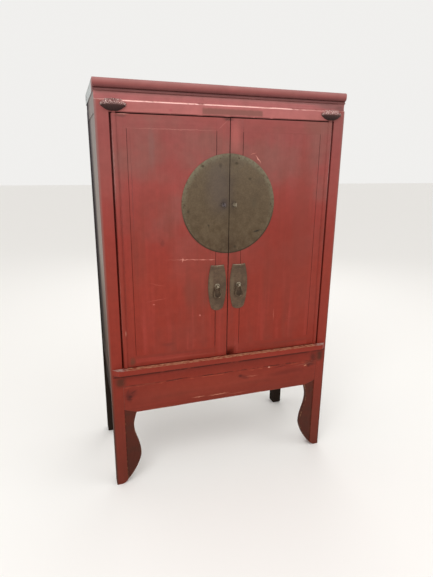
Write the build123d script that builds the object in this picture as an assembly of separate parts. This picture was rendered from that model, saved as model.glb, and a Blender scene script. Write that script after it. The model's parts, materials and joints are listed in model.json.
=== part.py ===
from build123d import *
import os
from math import cos, radians, sin

# A lacquered two-door wedding cabinet on four legs.
# Frame: origin on the floor in the middle of the footprint, +X to the viewer's
# right, +Y to the back, +Z up. All sizes are in millimetres.

# ---------------------------------------------------------------- case sizes
total_height = 1805.0
case_width = 1098.0  # over the posts
case_depth = 520.0  # over the posts
post_width = 52.0
post_depth = 52.0
post_round = 3.0  # worn outer corner of a post
foot_round = 7.0  # worn lower edges of a rear foot

# ---------------------------------------------------------------- top
cap_side_overhang = 2.0
cap_front_overhang = 3.0
cap_board_height = 36.0
cap_lower_round = 17.0
cap_upper_round = 13.0
cap_groove_height = 3.0
cap_groove_depth = 6.0
cap_bead_height = 7.0
cap_bead_set_back = 2.0
cap_bead_end_inset = 5.0  # how far the bead and groove stop short of the cap's ends
cap_member_width = 80.0
cap_back_round = 4.0
top_panel_thickness = 12.0
top_panel_drop = 2.0
waist_height = 31.0
waist_thickness = 20.0
waist_set_back = 6.0  # behind the front face of the posts
waist_side_inset = 1.0
waist_hollow = 2.5  # depth of the shallow cove in the front board
waist_tongue = 5.0
waist_tongue_thickness = 7.0
waist_tongue_stop = 8.0  # how far a tongue stops short of the waist's outer corners

# ---------------------------------------------------------------- rails and boards
top_rail_height = 44.0
front_rail_thickness = 36.0
side_rail_thickness = 30.0
sill_top = 606.0  # height of the door sill above the floor
sill_height = 90.0
bottom_rail_height = 60.0
apron_height = 138.0
apron_thickness = 22.0
apron_corner_rise = 21.0  # how far the apron's ends slope up to the post
lip_projection = 27.0
lip_height = 24.0
lip_undercut = 6.0
lip_cove = 20.0
lip_lap = 44.0  # how far the lip laps across the face of each post
lip_splay = 26.0
tenon_length = 28.0
tenon_thickness = 12.0
tenon_shoulder = 10.0
joint_gap = 0.2  # glue room around tenons and tongues
panel_thickness = 12.0
panel_set_in = 3.0
panel_tongue = 8.0
panel_tongue_thickness = 6.0
floor_thickness = 14.0
floor_drop = 8.0
loose_gap = 1.0  # room round a board that is only laid in
shelf_height = 1120.0
shelf_thickness = 18.0
shelf_gap = 2.0  # behind the door stops
bearer_width = 27.0
bearer_height = 34.0

# ---------------------------------------------------------------- legs
bracket_thickness = 22.0
bracket_set_back = 3.0
bracket_top_width = 57.0  # where the bracket leaves the apron
bracket_neck_width = 42.0
bracket_neck_drop = 66.0  # below the apron
bracket_bulge_width = 71.0
bracket_bulge_height = 157.0
bracket_tongue = 9.0
bracket_tongue_thickness = 8.0
bracket_tongue_margin = 30.0
toe_width = 20.0  # flat of the front foot on the floor
curve_reach = 60.0  # length of the curve handles between neck and bulge
neck_reach = 22.0
bulge_reach = 47.0
toe_reach = 40.0

# ---------------------------------------------------------------- doors
pivot_gap = 8.0
stop_gap = 2.0  # behind the closed door
stop_width = 8.0  # of the post's rebate that stops the door
stop_thickness = 6.0
meeting_gap = 3.0
door_top_gap = 4.0
door_bottom_gap = 4.0
door_thickness = 28.0
pivot_stile_width = 56.0
meeting_stile_width = 57.5
door_top_rail_width = 53.0
door_bottom_rail_width = 52.0
door_panel_thickness = 18.0
door_tongue = 8.0
door_tongue_thickness = 6.0
door_tenon_thickness = 10.0
shrink_gap = 1.6  # crack left where the panel has shrunk from its stiles
batten_height = 34.0
batten_inset = 215.0
rod_radius = 10.5
rod_proud = 6.0
pin_radius = 8.0
pin_reach = 26.0  # of the pin inside its socket
pivot_clearance = 0.1

# ---------------------------------------------------------------- pivot caps
lotus_radius = 51.5
lotus_projection = 25.0
lotus_height = 44.0
lotus_rise = 2.0  # above the top rail
lotus_foot_radius = 14.0
lotus_rim_height = 26.0
lotus_crown_height = 8.0
lotus_crown_inset = 14.0

# ---------------------------------------------------------------- brass
lock_drop = 356.0  # of the lock plate's centre below the top edge of the doors
lock_radius = 215.0
lock_thickness = 1.5
lock_eye_x = 26.0
eye_ring_radius = 8.5
eye_wire_radius = 2.0
rosette_radius = 9.0
rosette_thickness = 2.5
eye_sink = 1.2  # how deep the eye's ring is let into its rosette
shank_radius = 2.5
burr_radius = 6.0
burr_thickness = 2.0
pull_x = 52.0
pull_gap = 52.0  # between the lock plate's rim and the pull plates
pull_length = 215.0
pull_thickness = 2.0
pull_top_width = 60.0
pull_middle_width = 86.0
pull_bottom_width = 57.0
pull_top_dip = 3.0
pull_bottom_rise = 13.0
pull_boss_drop = 99.0  # of the ring's axis below the plate's top edge
boss_radius = 12.0
boss_thickness = 3.0
boss_stand_off = 10.5
lug_radius = 6.0
lug_width = 9.0
ring_radius = 19.5
ring_drop = 38.0
ring_band = 5.5
ring_thickness = 6.0
ring_top_radius = 10.5
ring_pin_radius = 2.5
ring_clearance = 0.1
ring_side_gap = 0.7
nail_head_radius = 3.2
nail_head_height = 1.2
nail_head_round = 0.9
nail_radius = 1.2
nail_length = 12.0
nail_gap = 0.1
lock_nail_inset = 15.0
lock_nail_count = 5
lock_nail_first_angle = 12.0  # from the top and the bottom of the plate
half_turn = 180.0
pull_nail_inset = 14.0

# ---------------------------------------------------------------- levels and planes
overall_depth = case_depth + lip_projection
front_y = lip_projection - overall_depth / 2  # front face of the posts
rear_y = overall_depth / 2
post_out = case_width / 2
post_in = post_out - post_width
cap_height = cap_bead_height + cap_groove_height + cap_board_height
cap_z = total_height - cap_height
post_top = cap_z - waist_height
opening_top = post_top - top_rail_height
sill_z = sill_top - sill_height
apron_z = sill_z - apron_height
front_rail_y = (front_y, front_y + front_rail_thickness)
rear_rail_y = (rear_y - side_rail_thickness, rear_y)
side_rail_x = (post_out - side_rail_thickness, post_out)
between_posts_y = (front_y + post_depth, rear_y - post_depth)
top_rail_z = (opening_top, post_top)
bottom_rail_z = (sill_top - bottom_rail_height, sill_top)
side_apron_z = (apron_z, sill_top - bottom_rail_height)
back_panel_y = (rear_y - panel_set_in - panel_thickness, rear_y - panel_set_in)
door_out = post_in - pivot_gap
door_in = meeting_gap / 2
door_z = (sill_top + door_bottom_gap, opening_top - door_top_gap)
door_y = (front_y, front_y + door_thickness)
stop_y = (door_y[1] + stop_gap, door_y[1] + stop_gap + stop_thickness)
pivot_x = door_out - rod_radius
pivot_y = front_y - rod_proud + rod_radius
lock_height = door_z[1] - lock_drop
pull_z = (lock_height - lock_radius - pull_gap - pull_length, lock_height - lock_radius - pull_gap)


# ---------------------------------------------------------------- helpers
def middle(limits):
    return (limits[0] + limits[1]) / 2


def span(centre, size):
    return (centre - size / 2, centre + size / 2)


def block(x, y, z):
    """A rectangular piece between its limits along X, Y and Z."""
    size = [limits[1] - limits[0] for limits in (x, y, z)]
    return Pos(middle(x), middle(y), middle(z)) * Box(*size)


def mirrored_limits(limits):
    """The same limits on the other side of the cabinet."""
    x, y, z = limits
    return ((-x[1], -x[0]), y, z)


def grown(limits, margin):
    return (limits[0] - margin, limits[1] + margin)


def room_for(x, y, z, gap=joint_gap):
    """The pocket that takes such a block with a little room all round."""
    return block(grown(x, gap), grown(y, gap), grown(z, gap))


def rod(centre, radius, length, axis):
    """A cylinder whose middle is at centre."""
    return Pos(*centre) * extrude(Plane((0, 0, 0), z_dir=axis) * Circle(radius), length / 2, both=True)


def upright(x, y, radius, z):
    """A vertical cylinder between two heights."""
    return rod((x, y, middle(z)), radius, z[1] - z[0], (0, 0, 1))


def across(outline, x):
    """A moulding whose outline in the YZ plane runs along X."""
    return extrude(make_face(Plane.YZ.offset(x[0]) * outline), x[1] - x[0], dir=(1, 0, 0))


def standing(outline, y):
    """A board whose outline in the XZ plane runs from one Y to the other."""
    return extrude(make_face(Plane.XZ.offset(-y[1]) * outline), y[1] - y[0], dir=(0, -1, 0))


def flipped(shape):
    """The viewer's left-hand twin of a right-hand piece."""
    return mirror(shape, about=Plane.YZ)


def save(name, shape):
    os.makedirs("parts", exist_ok=True)
    export_step(shape, f"parts/{name}.step")


def save_pair(name, right):
    save(f"right_{name}", right)
    save(f"left_{name}", flipped(right))


# ---------------------------------------------------------------- tongues and tenons
def tenons_along_x(x, y, z, thickness=tenon_thickness):
    """The limits of the two tenons of a rail that runs along X."""
    cheek = span(middle(y), thickness)
    height = (z[0] + tenon_shoulder, z[1] - tenon_shoulder)
    return [((x[0] - tenon_length, x[0]), cheek, height), ((x[1], x[1] + tenon_length), cheek, height)]


def tenons_along_y(x, y, z):
    """The limits of the two tenons of a rail that runs along Y."""
    cheek = span(middle(x), tenon_thickness)
    height = (z[0] + tenon_shoulder, z[1] - tenon_shoulder)
    return [(cheek, (y[0] - tenon_length, y[0]), height), (cheek, (y[1], y[1] + tenon_length), height)]


def tenoned(x, y, z, tenons):
    piece = block(x, y, z)
    for tenon in tenons:
        piece += block(*tenon)
    return piece


def tongued(board, tongue):
    return block(*board) + block(*tongue)


def cut_for(piece, pockets):
    for pocket in pockets:
        piece -= room_for(*pocket)
    return piece


between_posts_x = (-post_in, post_in)
top_front_tenons = tenons_along_x(between_posts_x, front_rail_y, top_rail_z)
top_rear_tenons = tenons_along_x(between_posts_x, rear_rail_y, top_rail_z)
bottom_rear_tenons = tenons_along_x(between_posts_x, rear_rail_y, bottom_rail_z)
sill_tenons = tenons_along_x(between_posts_x, front_rail_y, (sill_z, sill_top))
top_side_tenons = tenons_along_y(side_rail_x, between_posts_y, top_rail_z)
bottom_side_tenons = tenons_along_y(side_rail_x, between_posts_y, bottom_rail_z)

# The boards of the sides and back, each as its body and the thinner tongue in its grooves.
opening_z = (sill_top, opening_top)
side_panel_x = (post_out - panel_set_in - panel_thickness, post_out - panel_set_in)
side_panel = (side_panel_x, between_posts_y, opening_z)
side_panel_tongue = (
    span(middle(side_panel_x), panel_tongue_thickness),
    grown(between_posts_y, panel_tongue),
    grown(opening_z, panel_tongue),
)
back_panel = (between_posts_x, back_panel_y, opening_z)
back_panel_tongue = (
    grown(between_posts_x, panel_tongue),
    span(middle(back_panel_y), panel_tongue_thickness),
    grown(opening_z, panel_tongue),
)
side_apron_x = span(middle(side_rail_x), panel_thickness)
side_apron = (side_apron_x, between_posts_y, side_apron_z)
side_apron_tongue = (
    span(middle(side_apron_x), panel_tongue_thickness),
    grown(between_posts_y, panel_tongue),
    (side_apron_z[0], side_apron_z[1] + panel_tongue),
)
floor_panel = (
    (-side_rail_x[0] - panel_tongue, side_rail_x[0] + panel_tongue),
    (front_rail_y[1] - panel_tongue, rear_rail_y[0] + panel_tongue),
    (sill_top - floor_drop - floor_thickness, sill_top - floor_drop),
)
post_limits = ((post_in, post_out), (front_y, front_y + post_depth), (0, post_top))
rear_post_limits = ((post_in, post_out), (rear_y - post_depth, rear_y), (0, post_top))

# Tongues that hold the waist boards between the rails and the cap.
waist_out = post_out - waist_side_inset
waist_z = (post_top, cap_z)
waist_front_y = (front_y + waist_set_back, front_y + waist_set_back + waist_thickness)
waist_rear_y = (rear_y - waist_side_inset - waist_thickness, rear_y - waist_side_inset)
waist_side_x = (waist_out - waist_thickness, waist_out)
tongue_z = (post_top - waist_tongue, cap_z + waist_tongue)
waist_front_tongue = (
    (-waist_out + waist_tongue_stop, waist_out - waist_tongue_stop),
    span(middle(waist_front_y), waist_tongue_thickness),
    tongue_z,
)
waist_rear_tongue = (
    (-waist_out + waist_thickness, waist_out - waist_thickness),
    span(middle(waist_rear_y), waist_tongue_thickness),
    tongue_z,
)
waist_side_tongue = (
    span(middle(waist_side_x), waist_tongue_thickness),
    (waist_front_y[1], waist_rear_y[1] - waist_tongue_stop),
    tongue_z,
)

# ---------------------------------------------------------------- legs
corner_x = post_in - bracket_top_width
neck = (post_in - bracket_neck_width, apron_z - bracket_neck_drop)
bulge = (post_in - bracket_bulge_width, bracket_bulge_height)
toe = (post_out - toe_width, 0)
leg_curve = (
    Bezier((corner_x, apron_z), (neck[0], neck[1] + neck_reach), neck)
    + Bezier(neck, (neck[0], neck[1] - curve_reach), (bulge[0], bulge[1] + curve_reach), bulge)
    + Bezier(bulge, (bulge[0], bulge[1] - bulge_reach), (toe[0] - toe_reach, 0), toe)
)


def leg_outline(top):
    """The front leg from its curved inner edge to the post's outer face."""
    rest = Polyline(toe, (post_out, 0), (post_out, top), (corner_x, top), (corner_x, apron_z))
    return leg_curve + rest


def apron_end(x_in, lower):
    """The sloping joint between apron and bracket, as the region above it or below it."""
    slope = ((corner_x, apron_z), (post_in, apron_z + apron_corner_rise))
    far = (post_in, apron_z - total_height) if lower else (post_in, sill_z)
    near = (x_in, apron_z - total_height) if lower else (x_in, sill_z)
    return Polyline(*slope, far, near, (x_in, apron_z), slope[0])


bracket_y = (front_y + bracket_set_back, front_y + bracket_set_back + bracket_thickness)
bracket_tongue_limits = (
    (post_in, post_in + bracket_tongue),
    span(middle(bracket_y), bracket_tongue_thickness),
    (bracket_bulge_height - bracket_tongue_margin, apron_z - bracket_tongue_margin),
)


def make_bracket():
    """The shaped board that fills the corner between leg and apron."""
    board = standing(leg_outline(sill_z), bracket_y)
    board &= block((corner_x - bracket_bulge_width, post_in), bracket_y, (0, sill_z))
    board &= standing(apron_end(corner_x - bracket_bulge_width, True), bracket_y)
    return board + block(*bracket_tongue_limits)


apron_y = (front_y, front_y + apron_thickness)
apron_tongue = (
    (post_in, post_in + panel_tongue),
    span(middle(apron_y), bracket_tongue_thickness),
    (apron_z + apron_corner_rise + tenon_shoulder, sill_z - tenon_shoulder),
)


def make_apron():
    """The plain board under the sill, its lower corners cut to the brackets."""
    half = standing(apron_end(0, False), apron_y) + block(*apron_tongue)
    return half + flipped(half)


# ---------------------------------------------------------------- posts
def make_front_post():
    """A corner post that ends in the leg's curve, with the slim stop behind the closed door."""
    post = block(*post_limits)
    post &= standing(leg_outline(post_top), post_limits[1])
    outer = post.edges().filter_by(Axis.Z).sort_by(Axis.X)[-2:]
    post = fillet(outer.sort_by(Axis.Y)[0], post_round)
    post += block((post_in - stop_width, post_in), stop_y, opening_z)
    sockets = [top_front_tenons[1], sill_tenons[1], top_side_tenons[0], bottom_side_tenons[0]]
    boards = [side_panel_tongue, side_apron_tongue, bracket_tongue_limits, apron_tongue]
    return cut_for(post, sockets + boards + [waist_front_tongue, waist_side_tongue])


def make_rear_post():
    post = block(*rear_post_limits)
    post = fillet(post.faces().sort_by(Axis.Z)[0].edges(), foot_round)
    sockets = [top_rear_tenons[1], bottom_rear_tenons[1], top_side_tenons[1], bottom_side_tenons[1]]
    boards = [side_panel_tongue, side_apron_tongue, back_panel_tongue]
    return cut_for(post, sockets + boards + [waist_rear_tongue, waist_side_tongue])


# ---------------------------------------------------------------- rails
def pivot_hole(z):
    return upright(pivot_x, pivot_y, pin_radius + pivot_clearance, z)


pin_room = pin_reach + pivot_clearance
upper_hole = pivot_hole((opening_top, opening_top + pin_room))
lower_hole = pivot_hole((sill_top - pin_room, sill_top))


def make_top_front_rail():
    rail = tenoned(between_posts_x, front_rail_y, top_rail_z, top_front_tenons)
    return cut_for(rail - upper_hole - flipped(upper_hole), [waist_front_tongue])


def make_sill_rail():
    """The rail under the doors with its moulded lip, which laps over both posts."""
    rail = tenoned(between_posts_x, front_rail_y, (sill_z, sill_top), sill_tenons)
    nose_y = front_y - lip_projection
    lip_z = sill_top - lip_height
    cove_y = nose_y + lip_undercut
    cove_z = lip_z - lip_cove
    moulding = Polyline((front_y, cove_z), (front_y, sill_top), (nose_y, sill_top), (nose_y, lip_z))
    moulding += Line((nose_y, lip_z), (cove_y, lip_z))
    moulding += Spline((cove_y, lip_z), (front_y, cove_z), tangents=((1, 0), (0, -1)))
    lip_out = post_in + lip_lap
    plan = Polyline(
        (-lip_out, front_y),
        (-lip_out + lip_splay, nose_y),
        (lip_out - lip_splay, nose_y),
        (lip_out, front_y),
        close=True,
    )
    lip = across(moulding, (-lip_out, lip_out))
    lip &= extrude(Pos(0, 0, cove_z) * make_face(plan), sill_top - cove_z, dir=(0, 0, 1))
    return cut_for(rail + lip - lower_hole - flipped(lower_hole), [floor_panel])


def make_rear_rail(z, tenons, pockets):
    return cut_for(tenoned(between_posts_x, rear_rail_y, z, tenons), pockets)


def make_side_rail(z, tenons, pockets):
    return cut_for(tenoned(side_rail_x, between_posts_y, z, tenons), pockets)


# ---------------------------------------------------------------- boards
def make_floor():
    board = block(*floor_panel)
    for post in (post_limits, rear_post_limits):
        pocket = room_for(*post, gap=loose_gap)
        board -= pocket
        board -= flipped(pocket)
    return board


bearer_y = (stop_y[1] + shelf_gap, back_panel_y[0] - loose_gap)
bearer_top = shelf_height - shelf_thickness


def make_shelf():
    half = post_in - loose_gap
    return block((-half, half), bearer_y, (bearer_top, shelf_height))


def make_bearer():
    return block((post_in - bearer_width, post_in), bearer_y, (bearer_top - bearer_height, bearer_top))


# ---------------------------------------------------------------- waist and cap
def make_waist_front():
    """A full-width board with a shallow cove along its face."""
    y, z = waist_front_y, waist_z
    face = ThreePointArc((y[0], z[1]), (y[0] + waist_hollow, middle(z)), (y[0], z[0]))
    outline = face + Polyline((y[0], z[0]), (y[1], z[0]), (y[1], z[1]), (y[0], z[1]))
    return across(outline, (-waist_out, waist_out)) + block(*waist_front_tongue)


def make_waist_rear():
    return block((-waist_side_x[0], waist_side_x[0]), waist_rear_y, waist_z) + block(*waist_rear_tongue)


def make_waist_side():
    return block(waist_side_x, (waist_front_y[1], waist_rear_y[1]), waist_z) + block(*waist_side_tongue)


cap_out = post_out + cap_side_overhang
cap_y = (front_y - cap_front_overhang, rear_y)
cap_side_x = (cap_out - cap_member_width, cap_out)
cap_side_y = (cap_y[0] + cap_member_width, cap_y[1] - cap_member_width)
cap_side_z = (cap_z, total_height)
cap_tenons = tenons_along_y(cap_side_x, cap_side_y, cap_side_z)
top_panel_z = (total_height - top_panel_drop - top_panel_thickness, total_height - top_panel_drop)
top_panel = ((-cap_side_x[0], cap_side_x[0]), cap_side_y, top_panel_z)
top_panel_tongue = (
    grown(top_panel[0], panel_tongue),
    grown(cap_side_y, panel_tongue),
    span(middle(top_panel_z), panel_tongue_thickness),
)


def cap_outline():
    """Bead, groove and rounded board along the front of the cap."""
    front, back = cap_y[0], cap_side_y[0]
    bead_y = front + cap_bead_set_back
    bead_back = bead_y + cap_bead_height / 2
    bead_z = cap_z + cap_bead_height
    board_z = bead_z + cap_groove_height
    groove_y = bead_back + cap_groove_depth
    low_y, high_y = front + cap_lower_round, front + cap_upper_round
    low_z, high_z = board_z + cap_lower_round, total_height - cap_upper_round
    return (
        Polyline((back, total_height), (back, cap_z), (bead_back, cap_z))
        + ThreePointArc((bead_back, cap_z), (bead_y, middle((cap_z, bead_z))), (bead_back, bead_z))
        + Polyline((bead_back, bead_z), (groove_y, bead_z), (groove_y, board_z), (low_y, board_z))
        + Bezier((low_y, board_z), (front, board_z), (front, low_z))
        + Line((front, low_z), (front, high_z))
        + Bezier((front, high_z), (front, total_height), (high_y, total_height))
        + Line((high_y, total_height), (back, total_height))
    )


def make_cap_front():
    member = across(cap_outline(), (-cap_out, cap_out))
    bead_z = (cap_z, cap_z + cap_bead_height + cap_groove_height)
    bead_end = block((cap_out - cap_bead_end_inset, cap_out), (cap_y[0], waist_front_y[0]), bead_z)
    member -= bead_end + flipped(bead_end)
    pockets = [waist_side_tongue, cap_tenons[0]]
    pockets += [mirrored_limits(pocket) for pocket in pockets]
    return cut_for(member, pockets + [waist_front_tongue, top_panel_tongue])


def make_cap_rear():
    member = block((-cap_out, cap_out), (cap_side_y[1], cap_y[1]), cap_side_z)
    back_top = member.edges().filter_by(Axis.X).sort_by(lambda e: e.center().Y + e.center().Z)[-1]
    member = fillet(back_top, cap_back_round)
    pockets = [waist_side_tongue, cap_tenons[1]]
    pockets += [mirrored_limits(pocket) for pocket in pockets]
    return cut_for(member, pockets + [waist_rear_tongue, top_panel_tongue])


def make_cap_side():
    member = tenoned(cap_side_x, cap_side_y, cap_side_z, cap_tenons)
    return cut_for(member, [waist_side_tongue, top_panel_tongue])


# ---------------------------------------------------------------- door frames
pivot_stile_x = (door_out - pivot_stile_width, door_out)
meeting_stile_x = (door_in, door_in + meeting_stile_width)
door_rail_x = (meeting_stile_x[1], pivot_stile_x[0])
door_top_rail_z = (door_z[1] - door_top_rail_width, door_z[1])
door_bottom_rail_z = (door_z[0], door_z[0] + door_bottom_rail_width)
door_panel_z = (door_bottom_rail_z[1], door_top_rail_z[0])
door_panel_y = (front_y, front_y + door_panel_thickness)
door_top_tenons = tenons_along_x(door_rail_x, door_y, door_top_rail_z, door_tenon_thickness)
door_bottom_tenons = tenons_along_x(door_rail_x, door_y, door_bottom_rail_z, door_tenon_thickness)
door_tongue_limits = (
    (door_rail_x[0] - door_tongue, door_rail_x[1] + door_tongue),
    span(middle(door_panel_y), door_tongue_thickness),
    (door_panel_z[0] - door_tongue, door_panel_z[1] + door_tongue),
)
door_pockets = door_top_tenons + door_bottom_tenons + [door_tongue_limits]


def make_pivot_stile():
    """The hanging stile with its rounded rod and the pivot pins at both ends."""
    stile = block((pivot_stile_x[0], pivot_x), door_y, door_z)
    stile += block((pivot_x, door_out), (pivot_y, door_y[1]), door_z)
    stile += upright(pivot_x, pivot_y, rod_radius, door_z)
    stile = cut_for(stile, door_pockets)
    pins = (sill_top - pin_reach, opening_top + pin_reach)
    return stile + upright(pivot_x, pivot_y, pin_radius, pins)


def make_meeting_stile():
    return cut_for(block(meeting_stile_x, door_y, door_z), door_pockets)


def make_door_rail(z, tenons):
    return cut_for(tenoned(door_rail_x, door_y, z, tenons), [door_tongue_limits])


def make_door_panel():
    face_x = (door_rail_x[0] + shrink_gap, door_rail_x[1] - shrink_gap)
    return block(face_x, door_panel_y, door_panel_z) + block(*door_tongue_limits)


def make_battens():
    """Two ledges across the back of the door panel, one low and one high."""
    batten_y = (door_panel_y[1], door_y[1])
    low = span(door_panel_z[0] + batten_inset, batten_height)
    high = span(door_panel_z[1] - batten_inset, batten_height)
    return Compound(children=[block(door_rail_x, batten_y, z) for z in (low, high)])


# ---------------------------------------------------------------- pivot caps
def make_lotus():
    """Half of a round bowl-shaped block that covers the upper pivot, with its socket."""
    base = post_top + lotus_rise - lotus_height
    rim = base + lotus_rim_height
    crown = base + lotus_height
    shoulder = (lotus_radius - lotus_crown_inset, crown)
    outline = (
        Polyline((0, crown), (0, base), (lotus_foot_radius, base))
        + Bezier((lotus_foot_radius, base), (lotus_radius, base + lotus_crown_height), (lotus_radius, rim))
        + Bezier((lotus_radius, rim), (lotus_radius, crown), shoulder)
        + Line(shoulder, (0, crown))
    )
    bowl = revolve(make_face(Plane.XZ * outline), Axis.Z)
    bowl = scale(bowl, by=(1, lotus_projection / lotus_radius, 1))
    bowl = split(bowl, bisect_by=Plane.XZ, keep=Keep.TOP)
    return Pos(pivot_x, front_y, 0) * bowl - pivot_hole((base, opening_top + pin_room))


# ---------------------------------------------------------------- brass
def shank(x, z, plate_thickness, radius=shank_radius):
    """The spike of an eye, driven through plate and door."""
    y = (front_y - plate_thickness, door_y[1])
    return rod((x, middle(y), z), radius, y[1] - y[0], (0, 1, 0))


def burr(x, z):
    """The small washer over which the spike is clinched at the back of the door."""
    return rod((x, door_y[1] + burr_thickness / 2, z), burr_radius, burr_thickness, (0, 1, 0))


def make_lock_plate():
    plate_y = (front_y - lock_thickness, front_y)
    disc = rod((0, middle(plate_y), lock_height), lock_radius, lock_thickness, (0, 1, 0))
    return disc & block((door_in, lock_radius + door_in), plate_y, span(lock_height, lock_radius * 2))


def make_lock_eye():
    """A round loop that stands out of a small rosette, to take one end of the padlock bar."""
    plate_y = front_y - lock_thickness
    rosette_y = plate_y - rosette_thickness
    loop_y = rosette_y + eye_sink - eye_ring_radius - eye_wire_radius
    rosette_centre = (lock_eye_x, middle((plate_y, rosette_y)), lock_height)
    rosette = rod(rosette_centre, rosette_radius, rosette_thickness, (0, 1, 0))
    loop = Pos(lock_eye_x, loop_y, lock_height) * Rot(0, 90, 0) * Torus(eye_ring_radius, eye_wire_radius)
    return rosette + loop + shank(lock_eye_x, lock_height, lock_thickness) + burr(lock_eye_x, lock_height)


pull_plate_y = front_y - pull_thickness
ring_y = pull_plate_y - boss_stand_off
ring_z = pull_z[1] - pull_boss_drop


def make_pull_plate():
    """A long barrel-shaped plate behind the ring, dipped at the top and rounded at the foot."""
    top, foot = pull_top_width / 2, pull_bottom_width / 2
    side_z = pull_z[0] + pull_bottom_rise
    outline = (
        ThreePointArc((-top, pull_z[1]), (0, pull_z[1] - pull_top_dip), (top, pull_z[1]))
        + ThreePointArc((top, pull_z[1]), (pull_middle_width / 2, middle(pull_z)), (foot, side_z))
        + ThreePointArc((foot, side_z), (0, pull_z[0]), (-foot, side_z))
        + ThreePointArc((-foot, side_z), (-pull_middle_width / 2, middle(pull_z)), (-top, pull_z[1]))
    )
    return Pos(pull_x, 0, 0) * standing(outline, (pull_plate_y, front_y))


def make_pull_eye():
    """The boss with a bored lug that the ring hangs in."""
    boss_y = pull_plate_y - boss_thickness
    boss = rod((pull_x, middle((boss_y, pull_plate_y)), ring_z), boss_radius, boss_thickness, (0, 1, 0))
    front = boss.faces().sort_by(Axis.Y)[0]
    boss = fillet(front.edges(), boss_thickness / 2)
    lug_x = span(pull_x, lug_width)
    neck = block(lug_x, (ring_y, middle((boss_y, pull_plate_y))), span(ring_z, lug_radius * 2))
    eye = boss + neck + rod((pull_x, ring_y, ring_z), lug_radius, lug_width, (1, 0, 0))
    bore_radius = ring_pin_radius + ring_clearance
    eye -= rod((pull_x, ring_y, ring_z), bore_radius, lug_width + ring_side_gap, (1, 0, 0))
    return eye + shank(pull_x, ring_z, pull_thickness) + burr(pull_x, ring_z)


def teardrop(top_radius, bottom_radius):
    """A pear outline round two circles, the lower one ring_drop below the axis."""
    return make_hull((Circle(top_radius) + Pos(0, -ring_drop) * Circle(bottom_radius)).edges())


def make_pull_ring():
    """A pear-shaped ring whose open top is closed by the pin that turns in the lug."""
    inner_top = lug_width / 2 + ring_side_gap
    flat = teardrop(ring_top_radius, ring_radius) - teardrop(inner_top, ring_radius - ring_band)
    flat &= Pos(0, -total_height / 2) * Rectangle(total_height, total_height)
    band = extrude(Plane.XZ * flat, ring_thickness / 2, both=True)
    band = chamfer(band.faces().sort_by(Axis.Y)[0].edges().filter_by(GeomType.CIRCLE), ring_thickness / 4)
    band = chamfer(band.faces().sort_by(Axis.Y)[-1].edges().filter_by(GeomType.CIRCLE), ring_thickness / 4)
    for side in (1, -1):
        ends = span(side * middle((inner_top, ring_top_radius)), ring_top_radius - inner_top)
        band += rod((middle(ends), 0, 0), ring_thickness / 2, ends[1] - ends[0], (1, 0, 0))
    band += rod((0, 0, 0), ring_pin_radius, ring_top_radius + inner_top, (1, 0, 0))
    return Pos(pull_x, ring_y, ring_z) * band


# ---------------------------------------------------------------- nails
def lock_nail_places():
    """Nails evenly round the curved rim of the right-hand half of the lock plate."""
    reach = lock_radius - lock_nail_inset
    step = (half_turn - 2 * lock_nail_first_angle) / (lock_nail_count - 1)
    angles = [radians(lock_nail_first_angle + step * index) for index in range(lock_nail_count)]
    return [(reach * sin(angle), lock_height + reach * cos(angle)) for angle in angles]


def pull_nail_places():
    heights = (pull_z[0] + pull_nail_inset, pull_z[1] - pull_nail_inset)
    return [(pull_x, z) for z in heights]


nail_places = [(x, z, lock_thickness) for x, z in lock_nail_places()]
nail_places += [(x, z, pull_thickness) for x, z in pull_nail_places()]


def nail(x, z, plate_thickness):
    """A round-headed nail, its head on the plate and its shank in the wood."""
    head_y = front_y - plate_thickness
    head = rod((x, head_y - nail_head_height / 2, z), nail_head_radius, nail_head_height, (0, 1, 0))
    head = fillet(head.faces().sort_by(Axis.Y)[0].edges(), nail_head_round)
    return head + rod((x, head_y + nail_length / 2, z), nail_radius, nail_length, (0, 1, 0))


def drilled(piece):
    """Clears a door piece or a plate for the nails and the shanks of both eyes."""
    for x, z, thickness in nail_places:
        y = front_y - thickness + nail_length / 2
        piece -= rod((x, y, z), nail_radius + nail_gap, nail_length + 2 * nail_gap, (0, 1, 0))
    for x, z in ((lock_eye_x, lock_height), (pull_x, ring_z)):
        piece -= shank(x, z, max(lock_thickness, pull_thickness), shank_radius + nail_gap)
    return piece


# ---------------------------------------------------------------- build
bottom_grooves = [side_panel_tongue, side_apron_tongue, floor_panel]
rear_grooves = [back_panel_tongue, floor_panel]
paired_pieces = {
    "front_post": make_front_post(),
    "rear_post": make_rear_post(),
    "leg_bracket": make_bracket(),
    "top_rail": make_side_rail(top_rail_z, top_side_tenons, [side_panel_tongue, waist_side_tongue]),
    "bottom_rail": make_side_rail(bottom_rail_z, bottom_side_tenons, bottom_grooves),
    "apron": tongued(side_apron, side_apron_tongue),
    "side_panel": tongued(side_panel, side_panel_tongue),
    "waist": make_waist_side(),
    "cap": make_cap_side(),
    "shelf_bearer": make_bearer(),
    "pivot_cap": make_lotus(),
    "door_pivot_stile": make_pivot_stile(),
    "door_meeting_stile": drilled(make_meeting_stile()),
    "door_top_rail": make_door_rail(door_top_rail_z, door_top_tenons),
    "door_bottom_rail": make_door_rail(door_bottom_rail_z, door_bottom_tenons),
    "door_panel": drilled(make_door_panel()),
    "door_battens": make_battens(),
    "lock_plate": drilled(make_lock_plate()),
    "lock_eye": make_lock_eye(),
    "pull_plate": drilled(make_pull_plate()),
    "pull_eye": make_pull_eye(),
    "pull_ring": make_pull_ring(),
    "door_nails": Compound(children=[nail(*place) for place in nail_places]),
}
for name, piece in paired_pieces.items():
    save_pair(name, piece)

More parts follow.
